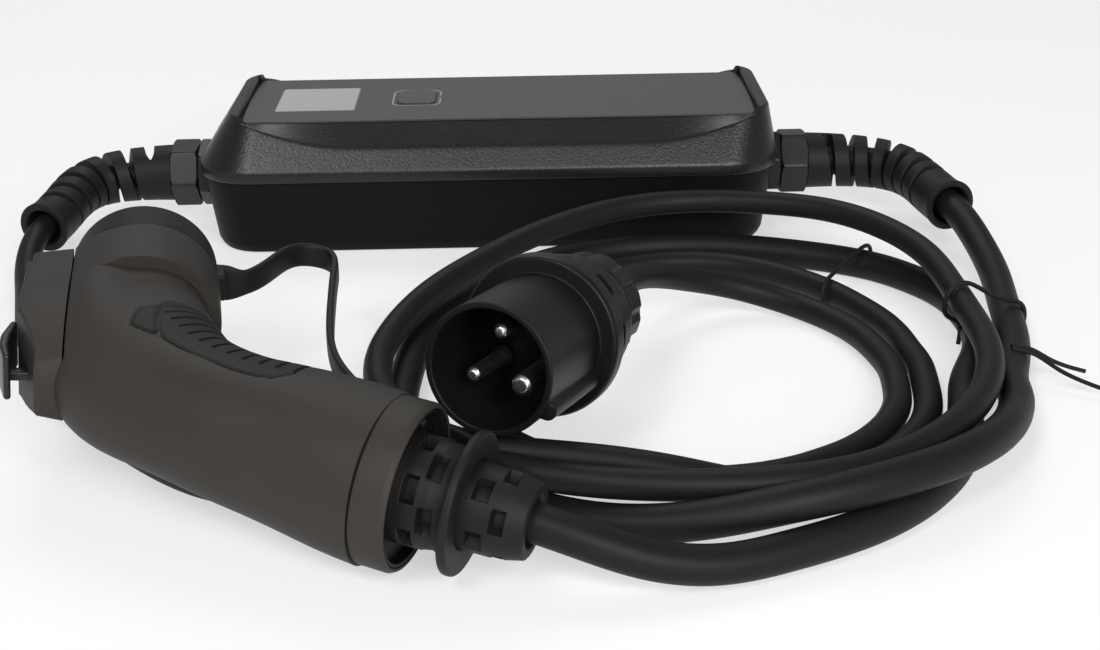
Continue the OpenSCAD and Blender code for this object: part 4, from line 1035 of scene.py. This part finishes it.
# %% Collar and boot
band_profile = soften([[24.3, -4], [24.3, -9.5], [26, -9.5], [26.1, 0], [25.2, 1.6], [24.3, 1.4], [24.3, -4]], 0.6)
skin("end_collar", on_boot(lathe(band_profile[:-1], 144)), grip_plastic, ring_wrap=True,
     swaps=["grip_collar"], crease=50)
cup_profile = soften([[3, -9.5], [24.2, -9.5], [24.2, 1.2], [23, 1.2], [22.2, -2], [3, -2]], 0.5)
skin("collar_cup", on_boot(lathe(cup_profile, 144)), tub_plastic, crease=50)


def boot_rings():
    """Stepped, tapering radius; windows are smooth boxes in height and in the angle from their middle."""
    z = np.linspace(-2, 38, 260)[:, None]
    a = np.linspace(0, 2 * np.pi, 216, endpoint=False)[None]
    r = np.interp(z, [-2, 10, 15.6, 16, 31, 38], [17, 16.8, 15.6, 13.6, 13.3, 11.6])
    rows = ((4, 2.1, 4.2, 0, 6), (10, 2.1, 4.2, 30, 6), (24, 2.4, 3.4, 0, 5), (30.5, 2, 3.4, 36, 5))
    for middle, half, wide, first_deg, count in rows:
        off = (a - np.radians(first_deg) + np.pi / count) % (2 * np.pi / count) - np.pi / count
        r = r - 3.6 * ease((half - np.abs(z - middle)) / 0.5 + 0.5) * ease((wide - np.abs(off) * r) / 0.6 + 0.5)
    out = np.stack(np.broadcast_arrays(r * np.cos(a), r * np.sin(a), z), -1)
    mouth = lathe([[10.8, 38.5], [8.4, 38.5], [7.5, 37.8], [7.2, 36], [7.2, 28]], 216)
    return np.vstack([out, mouth])


skin("cord_boot", on_boot(boot_rings()), soft_rubber, swaps=["strain_boot"], crease=55)

# %% [markdown]
# ## The plug
# A round shroud guards three round pins. The turned pieces are profiles with softened corners; slots,
# flutes and the key rib are changes of radius with the angle.

# %% Shroud, body and nut
turn_a = np.radians(np.linspace(0, 360, 288, endpoint=False))
shroud_r, earth_deg, earth_r, line_r, pin_circle_r = 22, 30, 3.5, 2.5, 10.5


def angle_from(first_deg, count):
    """Angle of each point of a ring from the nearest of count even places, the first at first_deg."""
    half = np.pi / count
    return (turn_a - np.radians(first_deg) + half) % (2 * half) - half


def round_at(r, radius, off, side):
    """Distance from the axis to a circle of that radius whose middle is at r, on its far or near side."""
    return r * np.cos(off) + side * np.sqrt(np.clip(radius**2 - (r * np.sin(off)) ** 2, 0, None))


def turned(profile, change=None):
    """Profile turned round the plug's axis, with an optional change of radius by angle and height."""
    r, z = np.asarray(profile, float).T[..., None]
    r = np.broadcast_to(r, (len(r), len(turn_a)))
    r = r if change is None else change(r, z)
    return on_plug(np.stack(np.broadcast_arrays(r * np.cos(turn_a), r * np.sin(turn_a), z), -1))


def dense(profile, step):
    """Profile with extra points, so that changes of radius have rows to work on."""
    p = np.asarray(profile, float)
    run = np.concatenate([[0], np.cumsum(np.linalg.norm(np.diff(p, axis=0), axis=1))])
    even = np.unique(np.concatenate([run, np.arange(0, run[-1], step)]))
    return np.stack([np.interp(even, run, p[:, k]) for k in range(2)], -1)


def key_rib(r, z):
    """A round rib whose middle lies on the shroud's wall, in line with the earth pin, from 3 mm behind the mouth."""
    rib_r, off = 3.5, angle_from(earth_deg, 1)
    rib = np.where(np.abs(shroud_r * np.sin(off)) < rib_r, round_at(shroud_r, rib_r, off, 1), 0)
    on_wall = (r > shroud_r - 1) & (r < shroud_r + 0.5)
    return np.where(on_wall, np.maximum(r, rib * ease((z - 2.6) / 0.5)), r)


def slots(r, z):
    """Eight slots in the ring behind the flange: boxes with eased edges in height and in arc length."""
    off = angle_from(0, 8)
    return r - 2.6 * ease((2.5 - np.abs(z - 53.5)) / 0.5 + 0.5) * ease((4 - np.abs(off) * r) / 0.6 + 0.5)


def flutes(r, z):
    """Twelve round flutes cut into the nut, each a circle whose middle lies outside it."""
    middle_r, flute_r, off = 20.9, 2.7, angle_from(0, 12)
    cut = np.where(np.abs(middle_r * np.sin(off)) < flute_r, round_at(middle_r, flute_r, off, -1), 99)
    return np.where(z > 77.4, soft_min(r, cut, 0.12), r)


shroud_outline = soften([
    [19.8, 40], [19.8, 0], [shroud_r, 0], [shroud_r, 40], [27.2, 40], [28, 41.2], [28, 46.8], [27.2, 48],
    [2, 48]], 0.7, 6)
body_outline = soften([
    [2, 48.2], [25, 48.2], [25, 58], [23, 60], [23, 67], [20, 71], [17, 72], [17, 75], [2, 75]], 0.6)
nut_outline = soften([
    [2, 75.2], [19.2, 75.2], [19.5, 76], [19.5, 87], [15.5, 93], [13.5, 95], [5.8, 95.2]], 0.8)
for name, profile, change, old in (
        ("plug_sleeve", np.vstack([[[2, 40]], dense(shroud_outline, 1.0)]), key_rib, "plug_shroud"),
        ("plug_back", dense(body_outline, 0.4), slots, "plug_body"),
        ("plug_cord_nut", dense(nut_outline, 0.5), flutes, "plug_gland_nut")):
    skin(name, turned(profile, change), plug_plastic, swaps=[old], crease=45)

# %% [markdown]
# The pins stand in a moulded disc, each in a low collar. Their tips have a soft chamfer that catches light.

# %% Pins and their disc
def pin_stack(deg, tip, profile):
    """A small turned profile set on the pin circle."""
    a = math.radians(deg)
    return on_plug(lathe(profile, 48) + [pin_circle_r * math.cos(a), pin_circle_r * math.sin(a), tip])


def pin_profile(radius, length):
    """Half outline of a pin: a chamfered tip, then straight."""
    return soften([[0.3, 0], [radius - 1.2, 0.05], [radius, 1.3], [radius, length], [0.3, length]], 0.5, 6)


def collar_of(radius):
    """Half outline of the low collar round a pin."""
    return soften([[0.5, 0], [radius + 1.5, 0], [radius + 1.9, 0.6], [radius + 1.9, 4], [0.5, 4]], 0.4)


disc_z, pin_root, collar_z = 32, 31.9, 29.6
disc = turned(soften([[2, disc_z], [19.75, disc_z], [19.75, 40], [2, 40]], 0.3))
pin_spots = ((earth_deg, earth_r, 5), (-90, line_r, 8), (150, line_r, 8))
collars = [pin_stack(deg, collar_z, collar_of(r)) for deg, r, _ in pin_spots]
skin("pin_disc", [disc] + collars, tub_plastic, swaps=["plug_insert"], crease=45)
earth, *lines = [pin_stack(deg, tip, pin_profile(r, pin_root - tip)) for deg, r, tip in pin_spots]
skin("line_pins", lines, pin_metal, swaps=["plug_pins"], crease=45)
skin("ground_pin", earth, pin_metal, swaps=["earth_pin"], crease=45)

# %% [markdown]
# ## Wire ties
# Two thin coated wires hold the turns together. Each goes over the bundle, and the near one has two free ends
# that stand off to the side. They are tubes along smooth lines, as the cords are.

# %% Ties
def ring_plane(angle, marks):
    """Marks of (distance from the coil's middle, height) in an upright plane through it."""
    m = np.asarray(marks, float)
    c, s = math.cos(math.radians(angle)), math.sin(math.radians(angle))
    return np.stack([coil_middle[0] + m[:, 0] * c, coil_middle[1] + m[:, 0] * s, m[:, 1]], -1)


def thin_wire(points, radius=0.9):
    """Thin tube along the smooth line through the points."""
    line, _ = smooth_line(points, 0.8)
    return tube(line, radius, 14, up=(0.3, 0.2, 0.93))


near_loop = ring_plane(24, [
    [115, 1], [114, 10], [107.6, 15], [107, 20], [109.5, 24.5], [114.5, 26.3], [121, 24], [130, 18.5], [139, 14.8],
    [145, 11.5], [146.6, 6.5], [145.6, 1]])
far_loop = ring_plane(56, [
    [107, 1], [105.6, 6], [107.5, 10.4], [113, 12], [126, 13], [139, 14], [147, 14.2], [153.6, 11.6], [155.2, 6.5],
    [154, 1]])
free_ends = ([[193, -199, 13.4], [201, -198, 11.5], [207, -200, 8.5], [220, -203, 4.5]],
             [[192.6, -200.6, 13.2], [201, -201, 11], [208, -206, 7.5], [221.5, -217, 4]])
skin("near_wire_tie", [thin_wire(near_loop)] + [thin_wire(e, 0.8) for e in free_ends], seal_rubber,
     swaps=["tie_near"], crease=60)
skin("far_wire_tie", thin_wire(far_loop), seal_rubber, swaps=["tie_far"], crease=60)

# %% [markdown]
# ## Room and light
# A pale floor carries the soft shadow. To the camera and in reflections it is part lit floor and part plain white,
# so the background is pale without more light on a black object. The world is a grey dome that darkens overhead,
# which keeps flat tops from going milky. Three soft boxes give the long gleams on the case edges and the grip.

# %% Floor, world and lamps
def floor_finish():
    """Pale matt floor; to the camera and in reflections it is part lit, part plain white."""
    made, shader, where = finish("pale_floor", Specular_IOR_Level=0.1)
    feed(shader, Base_Color=where.noise(400, 1).mix((0.93, 0.93, 0.93), (0.95, 0.95, 0.95)),
         Roughness=where.noise(50, 1) * 0.05 + 0.85)
    tree = made.node_tree
    ray = tree.nodes.new("ShaderNodeLightPath").outputs
    seen = Wire(ray["Is Camera Ray"]).over(Wire(ray["Is Glossy Ray"])).over(Wire(ray["Is Transmission Ray"]))
    glow = seen.node("ShaderNodeEmission", None, {"Color": (1, 1, 1, 1), "Strength": 1.0})
    both = seen.node("ShaderNodeMixShader", None, {0: seen * 0.55, 1: Wire(shader.outputs[0]), 2: glow})
    tree.links.new(both.socket, tree.nodes["Material Output"].inputs["Surface"])
    return made


FLOOR_HALF, FLOOR_Z = 4.0, -0.0002
corners = np.array([[-1, -1], [1, -1], [1, 1], [-1, 1]]) * FLOOR_HALF
floor_mesh = bpy.data.meshes.new("floor")
floor_mesh.from_pydata(np.column_stack([corners, np.full(4, FLOOR_Z)]).tolist(), [], [(0, 1, 2, 3)])
floor = bpy.data.objects.new("floor", floor_mesh)
bpy.context.scene.collection.objects.link(floor)
floor.data.materials.append(floor_finish())

world = bpy.data.worlds.new("studio")
bpy.context.scene.world = world
world.use_nodes = True
sky = world.node_tree.nodes["Background"]
aloft = Wire(world.node_tree.nodes.new("ShaderNodeTexCoord").outputs["Generated"])
aloft = aloft.node("ShaderNodeSeparateXYZ", None, {0: aloft}, out=2)
dome_low, dome_drop = 0.4, 0.24
world.node_tree.links.new((dome_low - aloft.ramp(0.1, 0.9) * dome_drop).socket, sky.inputs["Strength"])
sky.inputs["Color"].default_value = (1, 1, 1, 1)


def lamp(name, place, aim, size, watts):
    """A square area lamp, its own axis pointed from its place to its aim."""
    light = bpy.data.lights.new(name, "AREA")
    light.shape, light.size, light.energy = "SQUARE", size, watts
    made = bpy.data.objects.new(name, light)
    bpy.context.scene.collection.objects.link(made)
    back = np.asarray(place, float) - np.asarray(aim, float)
    back /= np.linalg.norm(back)
    right = np.cross((0, 1, 0.01), back)
    right /= np.linalg.norm(right)
    made.matrix_world = Matrix.Translation(place) @ Matrix(
        np.stack([right, np.cross(back, right), back], -1).tolist()).to_4x4()


lamp("front_box", (-0.62, -1.35, 1.3), (-0.05, -0.15, 0.03), 0.5, 12)
lamp("low_box", (0.55, -1.75, 0.85), (-0.05, -0.25, 0.03), 0.9, 26)
lamp("back_box", (-0.2, 1.1, 1.9), (0, -0.15, 0), 1.2, 15)
bpy.context.scene.view_settings.view_transform = "Standard"
print("lamps:", [light.name for light in bpy.data.lights])

# %% Cord facts and finish
head_pieces = [bpy.data.objects[n] for n in (
    "grip_shell", "grip_inlay_patch", "head_side_cover", "latch_arm", "dust_cover", "cap_tether", "tether_ring",
    "collar_cup", "end_collar", "cord_boot")]
head_pieces += [frame["nodes"][n] for n in (
    "latch_pin", "nose_barrel", "contact_insert", "contact_sleeves", "collar_screws")]
plug_line[0] * MM
plug_length * MM
plug_line * MM
car_line[0] * MM
car_length * MM
car_line * MM
print("cord lengths:", round(plug_length), round(car_length))
